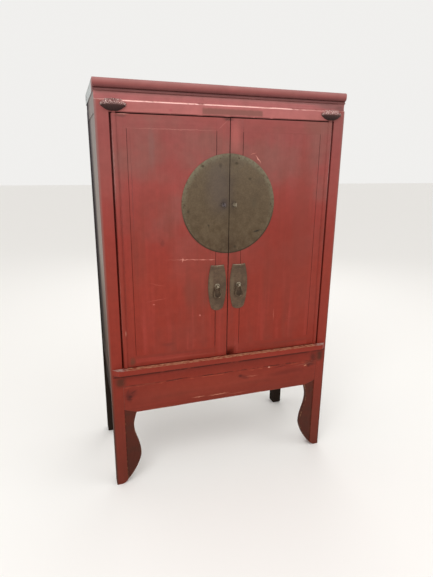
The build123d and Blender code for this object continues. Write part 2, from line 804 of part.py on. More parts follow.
save("top_front_rail", make_top_front_rail())
save("top_rear_rail", make_rear_rail(top_rail_z, top_rear_tenons, [back_panel_tongue, waist_rear_tongue]))
save("sill_rail", make_sill_rail())
save("bottom_rear_rail", make_rear_rail(bottom_rail_z, bottom_rear_tenons, rear_grooves))
save("front_apron", make_apron())
save("back_panel", tongued(back_panel, back_panel_tongue))
save("floor_panel", make_floor())
save("shelf", make_shelf())
save("front_waist", make_waist_front())
save("rear_waist", make_waist_rear())
save("front_cap", make_cap_front())
save("rear_cap", make_cap_rear())
save("top_panel", tongued(top_panel, top_panel_tongue))
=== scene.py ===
# %% [markdown]
# # A red lacquered wedding cabinet
#
# This notebook dresses a tall Chinese wardrobe: a frame of posts and rails, two doors on
# wooden pivots, a round brass lock plate split between them, and brass pulls with rings.
# The joinery is already there as a fixed frame of plain solids, to the millimetre. Here each
# solid gets its finish, and the pieces that the eye rests on are made again as meshes with
# worn edges, carved petals, hammered brass and domed nails.
#
# Everything is in metres, and the cabinet stands in the middle of the floor with +X to the
# viewer's right, +Y to the back and +Z up.

# %% Load the fixed frame
import json
import math

import bmesh
import bpy
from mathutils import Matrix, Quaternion, Vector, noise


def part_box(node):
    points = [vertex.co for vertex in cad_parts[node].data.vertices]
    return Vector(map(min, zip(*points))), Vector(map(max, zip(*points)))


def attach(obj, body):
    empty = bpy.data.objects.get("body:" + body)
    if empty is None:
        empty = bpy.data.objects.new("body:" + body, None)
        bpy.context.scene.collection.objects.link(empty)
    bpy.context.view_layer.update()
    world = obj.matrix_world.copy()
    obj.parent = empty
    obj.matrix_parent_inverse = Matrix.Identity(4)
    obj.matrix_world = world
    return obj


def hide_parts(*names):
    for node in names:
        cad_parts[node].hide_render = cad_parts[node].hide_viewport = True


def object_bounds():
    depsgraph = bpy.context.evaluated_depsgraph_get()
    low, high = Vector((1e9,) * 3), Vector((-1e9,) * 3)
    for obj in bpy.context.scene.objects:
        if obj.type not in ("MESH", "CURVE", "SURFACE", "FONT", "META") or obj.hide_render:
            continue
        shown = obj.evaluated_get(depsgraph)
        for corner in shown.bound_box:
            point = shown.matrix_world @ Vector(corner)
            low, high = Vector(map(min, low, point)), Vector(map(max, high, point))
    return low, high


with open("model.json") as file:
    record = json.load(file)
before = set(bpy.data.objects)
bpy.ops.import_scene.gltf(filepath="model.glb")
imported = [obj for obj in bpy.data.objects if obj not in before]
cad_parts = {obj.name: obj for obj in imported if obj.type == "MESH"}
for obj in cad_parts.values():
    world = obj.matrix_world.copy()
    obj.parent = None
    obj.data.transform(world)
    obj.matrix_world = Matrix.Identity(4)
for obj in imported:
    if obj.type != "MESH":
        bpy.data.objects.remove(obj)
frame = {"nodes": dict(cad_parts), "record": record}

nodes = frame["nodes"]
cad_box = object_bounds()
body_of = {node: body for body, members in frame["record"]["behaviour"]["bodies"].items() for node in members}
cabinet_height = cad_box[1].z

# %% [markdown]
# ## Sizes that later cells share
#
# A designer's file names its driving sizes once. Blender works in metres, while a cabinet
# maker thinks in millimetres, so `mm` turns one into the other. The places of the posts, the
# sill, the cap and the lock plate are read from the frame, so nothing is fitted by eye.

# %% Sizes in metres
mm = 0.001

post_low, post_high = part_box("right_front_post")
front = post_low.y
post_in, post_out = post_low.x, post_high.x
sill_bottom, sill_top = [corner.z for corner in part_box("sill_rail")]
rail_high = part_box("top_front_rail")[1]
cap_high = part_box("front_cap")[1]
lock_low, lock_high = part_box("right_lock_plate")
lock_radius = (lock_high.z - lock_low.z) / 2
lock_centre = Vector((0, lock_low.y, (lock_high.z + lock_low.z) / 2))
print(f"front face at y {front:.4f}, sill at {sill_top:.3f}, lock plate {2 * lock_radius:.3f} across")

# %% [markdown]
# ## The camera
#
# The cabinet is seen by a person standing a little to its left, so the eye is 1.5 m above the
# floor and looks down and to the right. A wide lens so close by makes the uprights converge
# towards the floor. The angles below turn straight into a direction, which is simpler to read
# than a rotation matrix, and a last small turn about the line of sight gives the tilt of a
# camera held by hand.

# %% Camera
def placed(name, data):
    """A new object in the scene."""
    made = bpy.data.objects.new(name, data)
    bpy.context.scene.collection.objects.link(made)
    return made


camera_place = Vector((-0.6718, -2.0855, 1.4974))
turned_right = math.radians(18.55)
turned_down = math.radians(15.86)
tilted = math.radians(0.55)
sensor = 36.0
frame_tall, focal = 577.0, 440.1  # the render's height and the focal length, both in pixels

looking = Vector((math.sin(turned_right), math.cos(turned_right), 0)) * math.cos(turned_down)
looking.z = -math.sin(turned_down)
camera_data = bpy.data.cameras.new("standing_viewer")
camera_data.sensor_width = sensor
camera_data.lens = focal / frame_tall * sensor
camera = placed("standing_viewer", camera_data)
camera.rotation_mode = "QUATERNION"
camera.location = camera_place
camera.rotation_quaternion = looking.to_track_quat("-Z", "Y") @ Quaternion((0, 0, 1), tilted)
bpy.context.scene.camera = camera
print(f"lens {camera_data.lens:.2f} mm at {tuple(round(value, 3) for value in camera_place)}")

# %% [markdown]
# ## Building materials with one helper
#
# A shader tree is a list of nodes with settings and links, so one small function that adds a
# node is all the vocabulary that is needed. Colours are picked as sRGB hex values, the way a
# paint chart gives them, while the renderer mixes light in linear values, and `linear` is the
# only place where one becomes the other.

# %% Helpers for every material
FACTOR, FIRST, SECOND, MIXED = 0, 6, 7, 2  # sockets of a colour mix


def linear(hex_colour):
    channels = [int(hex_colour[start:start + 2], 16) / 255 for start in (1, 3, 5)]
    return [c / 12.92 if c <= 0.04045 else ((c + 0.055) / 1.055) ** 2.4 for c in channels] + [1.0]


def add(tree, kind, inputs=None, out=None, **settings):
    """Adds a node, gives it its settings and fills its inputs with values or links.

    `out` names the output that is handed back, and without it the node itself is.
    """
    made = tree.nodes.new(kind)
    for name, value in settings.items():
        setattr(made, name, value)
    for key, value in (inputs or {}).items():
        if isinstance(value, bpy.types.NodeSocket):
            tree.links.new(value, made.inputs[key])
        else:
            made.inputs[key].default_value = value
    return made if out is None else made.outputs[out]


def new_material(name):
    """A material, its empty tree, and the place and the facing of the spot being painted."""
    material = bpy.data.materials.new(name)
    material.use_nodes = True
    tree = material.node_tree
    tree.nodes.clear()
    given = add(tree, "ShaderNodeTexCoord").outputs
    return material, tree, given["Object"], given["Normal"]


def surfaced(tree, colour, roughness, relief=None, strength=0.0, depth=0.0, **others):
    """Ends a tree with a surface, raised by up to `depth` metres where the relief is high.

    In the names of the other settings an underscore stands for a space.
    """
    inputs = {"Base Color": colour, "Roughness": roughness}
    inputs.update({name.replace("_", " "): value for name, value in others.items()})
    if relief is not None:
        bump = {"Strength": strength, "Distance": depth, "Height": relief}
        inputs["Normal"] = add(tree, "ShaderNodeBump", bump, 0)
    shader = add(tree, "ShaderNodeBsdfPrincipled", inputs, 0)
    add(tree, "ShaderNodeOutputMaterial", {"Surface": shader})


print("linear mid grey", [round(value, 3) for value in linear("#808080")])

# %% [markdown]
# ## A pale floor and soft light
#
# A wide plain floor and a pale surround leave all the attention to the cabinet. One large
# lamp high on the left models the mouldings, a weaker one on the right opens the shadows, and
# a third behind keeps the back readable. Large lamps give the soft, slow highlights that old
# lacquer shows in daylight.

# %% Floor, surround and lamps
bpy.context.scene.view_settings.view_transform = "Standard"

floor_half = 30.0
floor_mesh = bpy.data.meshes.new("studio_floor")
floor_corners = [(x * floor_half, y * floor_half, 0) for x, y in ((-1, -1), (1, -1), (1, 1), (-1, 1))]
floor_mesh.from_pydata(floor_corners, [], [(0, 1, 2, 3)])
floor = placed("studio_floor", floor_mesh)
floor_material, tree, _, _ = new_material("matt_painted_floor")
surfaced(tree, linear("#f3f1ee"), 0.9)
floor_mesh.materials.append(floor_material)

surround = bpy.data.worlds.new("pale_surround")
surround.use_nodes = True
glow = surround.node_tree.nodes["Background"].inputs
glow["Color"].default_value = linear("#f6f5f3")
glow["Strength"].default_value = 0.95
bpy.context.scene.world = surround

lamps = {  # place, size, power in watts
    "window_left": ((-1.6, -2.6, 3.8), 2.0, 62.0),
    "fill_right": ((3.2, -2.2, 2.6), 2.0, 14.0),
    "fill_behind": ((1.5, 3.5, 3.0), 2.5, 30.0),
}
aim = Vector((0, 0, 1.0))
for name, (place, size, power) in lamps.items():
    lamp_data = bpy.data.lights.new(name, "AREA")
    lamp_data.size, lamp_data.energy = size, power
    lamp = placed(name, lamp_data)
    lamp.location = place
    lamp.rotation_mode = "QUATERNION"
    lamp.rotation_quaternion = (aim - Vector(place)).to_track_quat("-Z", "Y")
print("lamps:", ", ".join(lamps))

# %% [markdown]
# ## Effects that old wood and brass share
#
# Old finishes are layers: a ground that changes with height, then smoke, brush marks, bruises
# and dust, each laid over the last where a mask holds. `streaks` draws noise out along the
# grain, as planing and brushing leave it, and `cloud` gives soft patches, as smoke and hands
# do. All of them read Object coordinates. Every piece sits at the origin, so these are the
# cabinet's own metres, and a pattern runs on from one piece to the next.

# %% Soft steps, covers and shading
def rising(tree, source, axis, low, high, most=1.0, least=0.0, both_ways=False):
    """A mask that goes softly from `least` to `most` as a value rises from `low` to `high`.

    The value is one axis of the source, or the source itself where the axis is None.
    `both_ways` counts from zero outwards, to the left and to the right alike.
    """
    value = add(tree, "ShaderNodeSeparateXYZ", {0: source}, axis) if axis else source
    if both_ways:
        value = add(tree, "ShaderNodeMath", {0: value}, 0, operation="ABSOLUTE")
    limits = {"Value": value, "From Min": low, "From Max": high, "To Min": least, "To Max": most}
    return add(tree, "ShaderNodeMapRange", limits, 0, interpolation_type="SMOOTHSTEP")


def laid_over(tree, colour, shade, *masks):
    """Covers a colour with a shade, a hex value or another colour, where all the masks hold."""
    share = masks[0]
    for mask in masks[1:]:
        share = add(tree, "ShaderNodeMath", {0: share, 1: mask}, 0, operation="MULTIPLY")
    inputs = {FACTOR: share, FIRST: colour, SECOND: linear(shade) if isinstance(shade, str) else shade}
    return add(tree, "ShaderNodeMix", inputs, MIXED, data_type="RGBA")


def shaded(tree, colour, value, darkest, lightest):
    """Multiplies a colour by a noise value that is turned into a range of brightness."""
    shade = add(tree, "ShaderNodeMapRange", {"Value": value, "To Min": darkest, "To Max": lightest}, 0)
    inputs = {FACTOR: 1.0, FIRST: colour, SECOND: shade}
    return add(tree, "ShaderNodeMix", inputs, MIXED, data_type="RGBA", blend_type="MULTIPLY")


def rubbed_through(tree, colour, shade, patchy):
    """Covers a colour with a shade where the mesh says that it is worn and the patches hold."""
    worn = add(tree, "ShaderNodeAttribute", out="Fac", attribute_name="worn")
    return laid_over(tree, colour, shade, worn, patchy)


print("steps, covers and shading ready")

# %% Streaks and clouds
def streaks(tree, place, across, along, grain, shift=0.0):
    """Noise whose grains are `across` wide and `along` long, in metres, along one axis."""
    scale = [1 / across] * 3
    scale["xyz".index(grain)] = 1 / along
    drawn = add(tree, "ShaderNodeMapping", {"Vector": place, "Location": (shift,) * 3, "Scale": scale}, 0)
    return add(tree, "ShaderNodeTexNoise", {"Vector": drawn, "Scale": 1.0, "Detail": 3.0}, 0)


def streak_mask(tree, place, across, along, grain, low, high, most=1.0, shift=0.0):
    """A mask of streaks: 0 where the noise is under `low`, and `most` where it is over `high`."""
    return rising(tree, streaks(tree, place, across, along, grain, shift), None, low, high, most)


def cloud(tree, place, size, low, high, most=1.0, shift=0.0):
    """A mask of patches about `size` metres wide."""
    moved = add(tree, "ShaderNodeMapping", {"Vector": place, "Location": (shift,) * 3}, 0)
    noisy = add(tree, "ShaderNodeTexNoise", {"Vector": moved, "Scale": 1 / size, "Detail": 5.0}, 0)
    return rising(tree, noisy, None, low, high, most)


def ragged(tree, place, size, push, detail):
    """The place pushed to and fro by noise, so that an outline drawn on it is uneven."""
    wave = add(tree, "ShaderNodeTexNoise", {"Vector": place, "Scale": 1 / size, "Detail": detail}, "Color")
    centred = {0: wave, 1: push, 2: [-reach / 2 for reach in push]}
    pushed = add(tree, "ShaderNodeVectorMath", centred, 0, operation="MULTIPLY_ADD")
    return add(tree, "ShaderNodeVectorMath", {0: place, 1: pushed}, 0)


print("streaks and clouds ready")

# %% Colours that change with height
def wavy_height(tree, place, size, wander, shift):
    """The height plus slow waves between 0 and twice `wander`, so that a level line wanders."""
    wave = streaks(tree, place, size, size, "x", shift)
    level = {0: wave, 1: 2 * wander, 2: add(tree, "ShaderNodeSeparateXYZ", {0: place}, "Z")}
    return add(tree, "ShaderNodeMath", level, 0, operation="MULTIPLY_ADD")


def by_height(tree, place, stops, wander=8 * mm):
    """A colour that changes with height. The stops are (metres, sRGB hex), from the floor up."""
    wavy = wavy_height(tree, place, 120 * mm, wander, 9.0)
    share = {0: wavy, 1: 1 / cabinet_height, 2: -wander / cabinet_height}
    level = add(tree, "ShaderNodeMath", share, 0, operation="MULTIPLY_ADD")
    band = add(tree, "ShaderNodeValToRGB", {0: level})
    elements = band.color_ramp.elements
    elements.remove(elements[1])
    for number, (height, shade) in enumerate(stops):
        element = elements[0] if number == 0 else elements.new(height / cabinet_height)
        element.position = height / cabinet_height
        element.color = linear(shade)
    return band.outputs["Color"]


print("heights are shares of", round(cabinet_height, 3), "m")

# %% [markdown]
# Age is also made of single events: a bruise, a scratch, a crack along a joint, a patch where
# a paper label sat. `with_marks` lays soft ovals at places in millimetres, `with_lines` draws
# wandering and broken level lines, and `with_patch` lays a patch with four ragged sides.

# %% Marks, lines and patches
def with_marks(tree, place, colour, marks):
    """Lays marks: (x, z, half length, half width, turn in degrees, hex, strength), in mm."""
    uneven = ragged(tree, place, 14 * mm, (9 * mm, 0, 9 * mm), 3.0)
    for x, z, length, width, turn, shade, strength in marks:
        spot = {
            "Vector": uneven,
            "Location": (x * mm, 0, z * mm),
            "Rotation": (0, math.radians(-turn), 0),
            "Scale": (length * mm, cabinet_height * 100, width * mm),
        }
        inside = add(tree, "ShaderNodeMapping", spot, 0, vector_type="TEXTURE")
        reach = add(tree, "ShaderNodeVectorMath", {0: inside}, "Value", operation="LENGTH")
        colour = laid_over(tree, colour, shade, rising(tree, reach, None, 0.2, 1.3, 0.0, strength))
    return colour


def with_lines(tree, place, colour, lines):
    """Draws level lines: (z, half width, wander, hex, strength, share broken away), in mm."""
    for number, (z, half, wander, shade, strength, broken) in enumerate(lines):
        wavy = wavy_height(tree, place, 55 * mm, wander * mm, 2.0 + number)
        offset = add(tree, "ShaderNodeMath", {0: wavy, 1: (z + wander) * mm}, 0, operation="SUBTRACT")
        inner, outer = 0.35 * half * mm, 1.2 * half * mm
        line = rising(tree, offset, None, inner, outer, 0.0, strength, both_ways=True)
        kept = cloud(tree, place, 45 * mm, 0.25 + 0.4 * broken, 0.45 + 0.4 * broken, shift=4.0 + number)
        colour = laid_over(tree, colour, shade, line, kept)
    return colour


def with_patch(tree, place, colour, left, right, low, high, soft, shade, strength):
    """A patch with ragged edges, in mm."""
    uneven = ragged(tree, place, 20 * mm, (8 * mm,) * 3, 4.0)
    masks = [strength]
    for axis, start, end in (("X", left, right), ("Z", low, high)):
        masks.append(rising(tree, uneven, axis, (start - soft) * mm, (start + soft) * mm))
        masks.append(rising(tree, uneven, axis, (end - soft) * mm, (end + soft) * mm, 0.0, 1.0))
    return laid_over(tree, colour, shade, *masks)


print("single marks ready")

# %% [markdown]
# ## Red lacquer
#
# The front was brushed with many thin coats of cinnabar red lacquer over softwood. A century
# of smoke, dust and polishing left brown clouds on the panels, darker streaks along the grain
# and bare wood where hands and hems rubbed the edges. The red is hazy and pinkish towards the
# top and deep red near the floor, partly from smoke and bloom and partly as a painted
# reflection of the bright room in the gloss. It is a semi-matt varnish with the usual index of
# refraction of about 1.5. Its gloss is uneven, so the roughness follows the same streaks.
#
# The backs of the doors were never lacquered red. The object-space normal tells the front from
# the back, and it turns with the door, so the paint stays where it is when a door opens.
#
# The lacquer could be one long tree, but it is easier to read as three steps: the smoked
# ground with its painted sheen, the marks on it, and the brushed surface that ends every red material.

# %% Shades of the red and painted light, from the floor up
# The red grows paler and pinker towards the top, partly a painted reflection of the bright room.
door_stops_with_painted_sheen = (
    (0.0, "#60271a"),
    (0.35, "#722a1d"),
    (0.62, "#832c1f"),
    (1.0, "#893327"),
    (1.2, "#8b362e"),
    (1.4, "#90433e"),
    (1.6, "#8c4845"),
    (1.7, "#904e4b"),
    (1.8, "#95504d"),
)
# The cornice's stops paint light and shade with its red: a painted highlight on top of the cap's roll,
# painted shade under it, and painted shadow in the groove and under the bead.
cornice_stops_with_painted_shading = (
    (1.68, "#aa6460"),
    (1.729, "#a96563"),
    (1.737, "#a15e5e"),
    (1.744, "#a46160"),
    (1.750, "#a76967"),
    (1.755, "#aa706e"),
    (1.7590, "#653f3f"),
    (1.7625, "#5f3b3a"),
    (1.766, "#835857"),
    (1.769, "#7c4b4a"),
    (1.774, "#6d3d3d"),
    (1.780, "#783f3f"),
    (1.787, "#8d4f4c"),
    (1.795, "#9e6663"),
    (1.805, "#9f7170"),
)
print(len(door_stops_with_painted_sheen), "stops for the doors and", len(cornice_stops_with_painted_shading), "for the cornice")

# %% The smoked ground and its painted sheen
bare_wood_shade = "#6b4a35"
brush_width, brush_length = 4 * mm, 160 * mm


def bare_wood(tree, place, grain):
    """The unpainted back of a board."""
    rings = streaks(tree, place, 7 * mm, 500 * mm, grain, 5.5)
    return shaded(tree, linear(bare_wood_shade), rings, 0.6, 1.4)


def smoked_red_with_sheen(tree, place, grain, haze, stops, wander):
    """The lacquer under smoke, wear and a painted sheen towards the top, before any single mark."""
    colour = by_height(tree, place, stops, wander)

    # Smoke haze in wide clouds that gathers towards the top, partly a painted reflection of the bright room.
    high_up = rising(tree, place, "Z", 0.9, 1.55, 0.75 * haze, 0.1 * haze)
    smoke = cloud(tree, place, 210 * mm, 0.40, 0.68, shift=3.1)
    colour = laid_over(tree, colour, "#80524b", smoke, high_up)

    # Brown smears and brighter columns drawn out along the grain, fainter under the haze and painted sheen.
    clear = rising(tree, place, "Z", 1.2, 1.5, 0.3 * haze, haze)
    smear = streak_mask(tree, place, 60 * mm, 400 * mm, grain, 0.42, 0.75, 0.5, shift=1.7)
    colour = laid_over(tree, colour, "#75372c", smear, clear)
    column = streak_mask(tree, place, 34 * mm, 600 * mm, grain, 0.48, 0.8, 0.4, shift=6.2)
    colour = laid_over(tree, colour, "#a3423a", column, clear)

    # Brush streaks, mottling, and a web of hair scratches. A real hair scratch is under 0.3 mm
    # wide. Here it is 1.2 mm, so that it shows.
    colour = shaded(tree, colour, streaks(tree, place, brush_width, brush_length, grain), 0.93, 1.07)
    mottle = add(tree, "ShaderNodeTexNoise", {"Vector": place, "Scale": 1 / (26 * mm), "Detail": 6.0}, 0)
    colour = shaded(tree, colour, mottle, 0.86, 1.14)
    hairs = streak_mask(tree, place, 1.2 * mm, 70 * mm, "x", 0.68, 0.78, 0.3, shift=8.0)
    return laid_over(tree, colour, "#c27c6e", hairs, cloud(tree, place, 90 * mm, 0.5, 0.7, shift=1.0))


print("a brush streak is", round(brush_width / mm), "mm wide")

# %% Marks, rubbed edges and grime
worn_shade, end_shade = "#b07c60", "#ad948a"


def marked_red(
    tree, place, facing, grain, marks, lines, patches=(), haze=1.0, stops=door_stops_with_painted_sheen, wander=8 * mm,
):
    """The lacquer with its marks, its rubbed edges, a painted shade in the gaps and the bare back."""
    colour = smoked_red_with_sheen(tree, place, grain, haze, stops, wander)
    for patch in patches:
        colour = with_patch(tree, place, colour, *patch)
    colour = with_lines(tree, place, colour, lines)
    colour = with_marks(tree, place, colour, marks)

    # Rubbed edges show the wood where the mesh says that they are worn, greyer at the sill's ends.
    patchy = streak_mask(tree, place, 4 * mm, 22 * mm, grain, 0.4, 0.56, shift=2.6)
    on_sill = rising(tree, place, "Z", 0.62, 0.64, 0.0, 1.0)
    at_end = rising(tree, place, "X", 0.46, 0.50, both_ways=True)
    wood = laid_over(tree, linear(worn_shade), end_shade, on_sill, at_end)
    colour = rubbed_through(tree, colour, wood, patchy)

    # Painted shade darkens the side faces in the narrow gaps between the doors and round their panels.
    sideways = rising(tree, facing, "X", 0.5, 0.8, both_ways=True)
    on_doors = rising(tree, place, "X", 430 * mm, 440 * mm, 0.0, 0.9, both_ways=True)
    colour = laid_over(tree, colour, "#1d1210", sideways, on_doors)
    return laid_over(tree, colour, bare_wood(tree, place, grain), rising(tree, facing, "Y", 0.4, 0.6))


print("worn", worn_shade, "and at the sill's ends", end_shade)

# %% The brushed surface
ridge_width, ridge_length = 1.6 * mm, 90 * mm


def brushed(tree, place, grain, colour, specular):
    """Ends a tree with a brushed lacquer, whose gloss follows the streaks of the brush."""
    brush = streaks(tree, place, brush_width, brush_length, grain)
    roughness = add(tree, "ShaderNodeMapRange", {"Value": brush, "To Min": 0.42, "To Max": 0.6}, 0)
    ridges = streaks(tree, place, ridge_width, ridge_length, grain, shift=0.4)
    surfaced(tree, colour, roughness, ridges, 0.2, 0.4 * mm, Specular_IOR_Level=specular)


def red_lacquer(name, grain, *history, **ageing):
    """Lacquer brushed along x or z. Its history is its marks, lines and patches."""
    material, tree, place, facing = new_material(name)
    brushed(tree, place, grain, marked_red(tree, place, facing, grain, *history, **ageing), 0.14)
    return material


print("ridges of the brush are", round(ridge_width / mm, 1), "mm wide")

# %% [markdown]
# The lists below are this cabinet's own history, with painted light and shade among it. The
# doors carry scratches and flecks, a painted highlight along each rounded pivot stile and painted
# shade where it meets the door. The frame of each door is mitred, so a faint line crosses its
# upper inner corner. The sill has dark patches under its lip, a painted shadow along the lip,
# three knots and the long crack where the apron's board has shrunk away from the sill. The top
# rail has a pale rubbed arris with a painted highlight, and the brown ghost of a plaque.

# %% Marks on the doors
door_marks = (
    (-205, 1089, 22, 2.4, -3, "#d58d7e", 0.8),
    (-160, 1087, 16, 2.0, -3, "#cf8576", 0.7),
    (-120, 1084, 20, 2.0, -3, "#cf8576", 0.7),
    (-80, 1082, 14, 2.4, -3, "#d58d7e", 0.8),
    (-170, 1087, 120, 1.6, -3.4, "#bd7063", 0.55),
    (-212, 1088, 2.6, 10, 0, "#d58d7e", 0.75),
    (132, 1516, 22, 2.2, -52, "#d39284", 0.8),
    (108, 1541, 14, 2.0, 18, "#c98072", 0.5),
    (-9, 1676, 26, 8, 0, "#4a2f2b", 0.75),
    (-449, 634, 15, 22, 0, "#5f3a2a", 0.7),
    (0, 1145, 3.5, 560, 0, "#43201a", 0.7),
    (-52, 968, 48, 118, 0, "#5c3026", 0.7),
    (52, 968, 48, 118, 0, "#5c3026", 0.7),
    (-60, 790, 2.4, 170, 0, "#5a1d16", 0.7),
    (60, 790, 2.2, 170, 0, "#66281f", 0.5),
    (-60, 1570, 2.4, 70, 0, "#5f302d", 0.65),
    (60, 1570, 2.4, 70, 0, "#5f302d", 0.65),
    (-419, 1400, 2.2, 240, 0, "#6c3a36", 0.5),
    (240, 1130, 250, 330, 0, "#7c2e24", 0.45),
    (-283, 699, 34, 10, 0, "#6a2c24", 0.5),
    (-178, 930, 36, 80, 0, "#713b30", 0.45),
    (-100, 900, 26, 60, 0, "#713b30", 0.3),
    (-335, 1560, 14, 90, 0, "#7d5550", 0.6),
    (-300, 1168, 10, 18, 0, "#6d302a", 0.6),
    (-134, 824, 5, 5, 0, "#c9756a", 0.8),
    (-346, 896, 6, 3, 0, "#c56f63", 0.8),
    (-473, 775, 2.5, 12, 0, "#c98b78", 0.8),
    (240, 790, 2.5, 30, 0, "#b06050", 0.5),
    (-330, 915, 50, 2, 8, "#b5584c", 0.4),
    (-330, 985, 40, 2, -14, "#b5584c", 0.35),
    (-444, 1679, 24, 2.5, 0, "#c98d80", 0.7),
    (-455, 1672, 30, 7, 0, "#5b3c37", 0.6),
    (-246, 1628, 190, 1.6, 0, "#b87b72", 0.45),
    (-30, 1654, 38, 1.6, 43, "#b8766e", 0.35),
    (300, 1626, 130, 1.6, 0, "#7a3f39", 0.5),
    (30, 1654, 38, 1.6, -43, "#84443e", 0.35),
    (360, 1300, 60, 330, 0, "#7e3a31", 0.45),
    (-260, 650, 200, 8, 0, "#6f3026", 0.35),
    (-200, 630, 180, 5, 0, "#a04a3c", 0.3),
    (300, 640, 160, 8, 0, "#6f3026", 0.35),
    # The next three marks are painted highlights along the rounded pivot stiles.
    (-487, 1500, 2.2, 190, 0, "#b58a85", 0.4),
    (-487, 900, 2.0, 240, 0, "#b06a5e", 0.4),
    (485, 1480, 2.2, 180, 0, "#c09894", 0.5),
    (24, 1610, 24, 70, 0, "#b4625c", 0.4),
    # These two marks are painted shade where each rounded pivot stile meets its door.
    (-466, 1150, 3, 480, 0, "#5f2822", 0.45),
    (466, 1150, 3, 480, 0, "#5f2822", 0.45),
)
door_lines = ((1681, 2.4, 0.6, "#5a2f2c", 0.7, 0.05),)
print(len(door_marks), "marks on the doors")

# %% Marks on the sill, the apron and the legs
low_marks = (
    (-466, 472, 34, 26, 25, "#5a211a", 0.75),
    (-474, 456, 12, 28, 15, "#4c1c16", 0.6),
    (-450, 484, 18, 4, 30, "#4a1c16", 0.6),
    (-478, 490, 5, 12, -20, "#4f1f18", 0.5),
    (-467, 461, 10, 9, 0, "#2e0f0c", 0.6),
    (-60, 465, 380, 60, 0, "#9a4533", 0.2),
    (-410, 513, 90, 8, 0, "#7a3023", 0.9),
    (-470, 448, 16, 4, -12, "#451a14", 0.6),
    (478, 532, 22, 26, 0, "#4a1f16", 0.75),
    (462, 505, 34, 12, 0, "#4f2118", 0.65),
    (430, 500, 60, 3, 4, "#8f5040", 0.5),
    (74, 486, 12, 9, 0, "#4a1b16", 0.75),
    (92, 478, 30, 12, -20, "#5b231c", 0.6),
    (464, 494, 34, 8, -6, "#50221b", 0.7),
    (455, 486, 12, 10, 0, "#45190f", 0.6),
    (-140, 406, 34, 2.2, 0, "#c28068", 0.7),
    (-40, 404, 52, 2.6, 0, "#c28068", 0.8),
    (60, 396, 60, 1.8, 0, "#a8604e", 0.5),
    (135, 476, 32, 2.2, 0, "#a8604e", 0.7),
    (230, 510, 6, 4, 0, "#d89a84", 0.95),
    (300, 506, 40, 2.2, 6, "#3f1712", 0.8),
    (435, 491, 8, 3, 10, "#c9906f", 0.9),
    (-250, 440, 120, 14, 2, "#662a1e", 0.25),
    (180, 440, 150, 12, -2, "#662a1e", 0.25),
    (330, 470, 110, 16, 3, "#571f16", 0.4),
)
low_patches = (
    (-528, -488, 518, 562, 15, "#47281b", 0.8),
    (502, 534, 510, 562, 14, "#432619", 0.85),
)
sill_lines_and_lip_shadow = (
    # The first line is a painted shadow under the sill's lip.
    (571, 11, 1.5, "#43190f", 0.85, 0.0),
    (516, 2.8, 5, "#3a130f", 0.9, 0.35),
    (509, 2.2, 6, "#b5583f", 0.5, 0.55),
    (381, 2.2, 1, "#b37a5a", 0.7, 0.6),
)
print(len(low_marks), "marks,", len(low_patches), "patches and", len(sill_lines_and_lip_shadow), "lines low down")

# %% Marks on the cornice
# The first cornice line is a painted highlight on the rail's rubbed upper arris, and the post line carries it
# over the posts.
cornice_highlight_and_lines = ((1727.3, 3.4, 1.0, "#ffcec7", 1.0, 0.05), (1685.5, 2.6, 0.5, "#5a2b2a", 0.75, 0.0))
post_arris_highlight = ((1727, 2.0, 1.0, "#cf9c94", 0.5, 0.5),)
cornice_marks = (
    (470, 1744, 80, 10, 0, "#84605d", 0.6),
    (400, 1753, 150, 5, 0, "#7d5c5a", 0.5),
    (330, 1737, 90, 2.5, 0, "#a56f6b", 0.5),
    (400, 1727.5, 120, 5, 0, "#b26c67", 0.75),
    (160, 1727.5, 30, 4, 0, "#bf7d77", 0.5),
    (-60, 1684, 60, 5, 0, "#6a3b38", 0.4),
    (-255, 1700, 8, 6, 0, "#9a4a50", 0.6),
    (-430, 1706, 50, 18, 0, "#9a5753", 0.5),
    (530, 1740, 30, 15, 0, "#714b49", 0.75),
    (525, 1700, 26, 18, 0, "#7f5450", 0.5),
)
plaque_ghost = ((-122, 146, 1690, 1714, 5, "#7c5049", 0.85),)
print(len(cornice_marks), "marks on the cornice")

# %% The four red lacquers
door_lacquer = red_lacquer("red_lacquer_brushed_upright", "z", door_marks, door_lines)
rail_lacquer = red_lacquer(
    "red_lacquer_cornice", "x", cornice_marks, cornice_highlight_and_lines, plaque_ghost,
    haze=0.35, stops=cornice_stops_with_painted_shading, wander=0.5 * mm,
)
door_rail_lacquer = red_lacquer("red_lacquer_brushed_level", "x", door_marks, door_lines)
sill_lacquer = red_lacquer("red_lacquer_rubbed_sill", "x", low_marks, sill_lines_and_lip_shadow, low_patches, haze=0.3)
print("red lacquers:", door_lacquer.name, door_rail_lacquer.name, rail_lacquer.name, sill_lacquer.name)

# %% [markdown]
# ## Dark lacquer on the sides
#
# Such cabinets stood between walls, so the sides only got a brown-black lacquer. The front half
# of each side is painted grey, as a reflection of the bright room in the glossy lacquer, while
# the rear half stays dark. Brown dust lies on whatever looks up, and the ends of the cap are
# nearly white, dust and a painted reflection together. The posts are red in front and dark on
# their outer side, and the border runs along the rounded corner.

# %% The dark ground and its painted sheen
front_side_stops_with_sheen = (
    (0.4, "#43322a"), (0.6, "#514139"), (0.85, "#72645c"), (1.1, "#938a83"), (1.7, "#918986"),
)
rear_stops = ((0.4, "#261e19"), (0.9, "#2c2524"), (1.3, "#3a3435"), (1.7, "#443e41"))
corner_stops = ((0.3, "#4a2a20"), (0.6, "#70463a"), (1.0, "#80564e"), (1.7, "#8c6a66"))


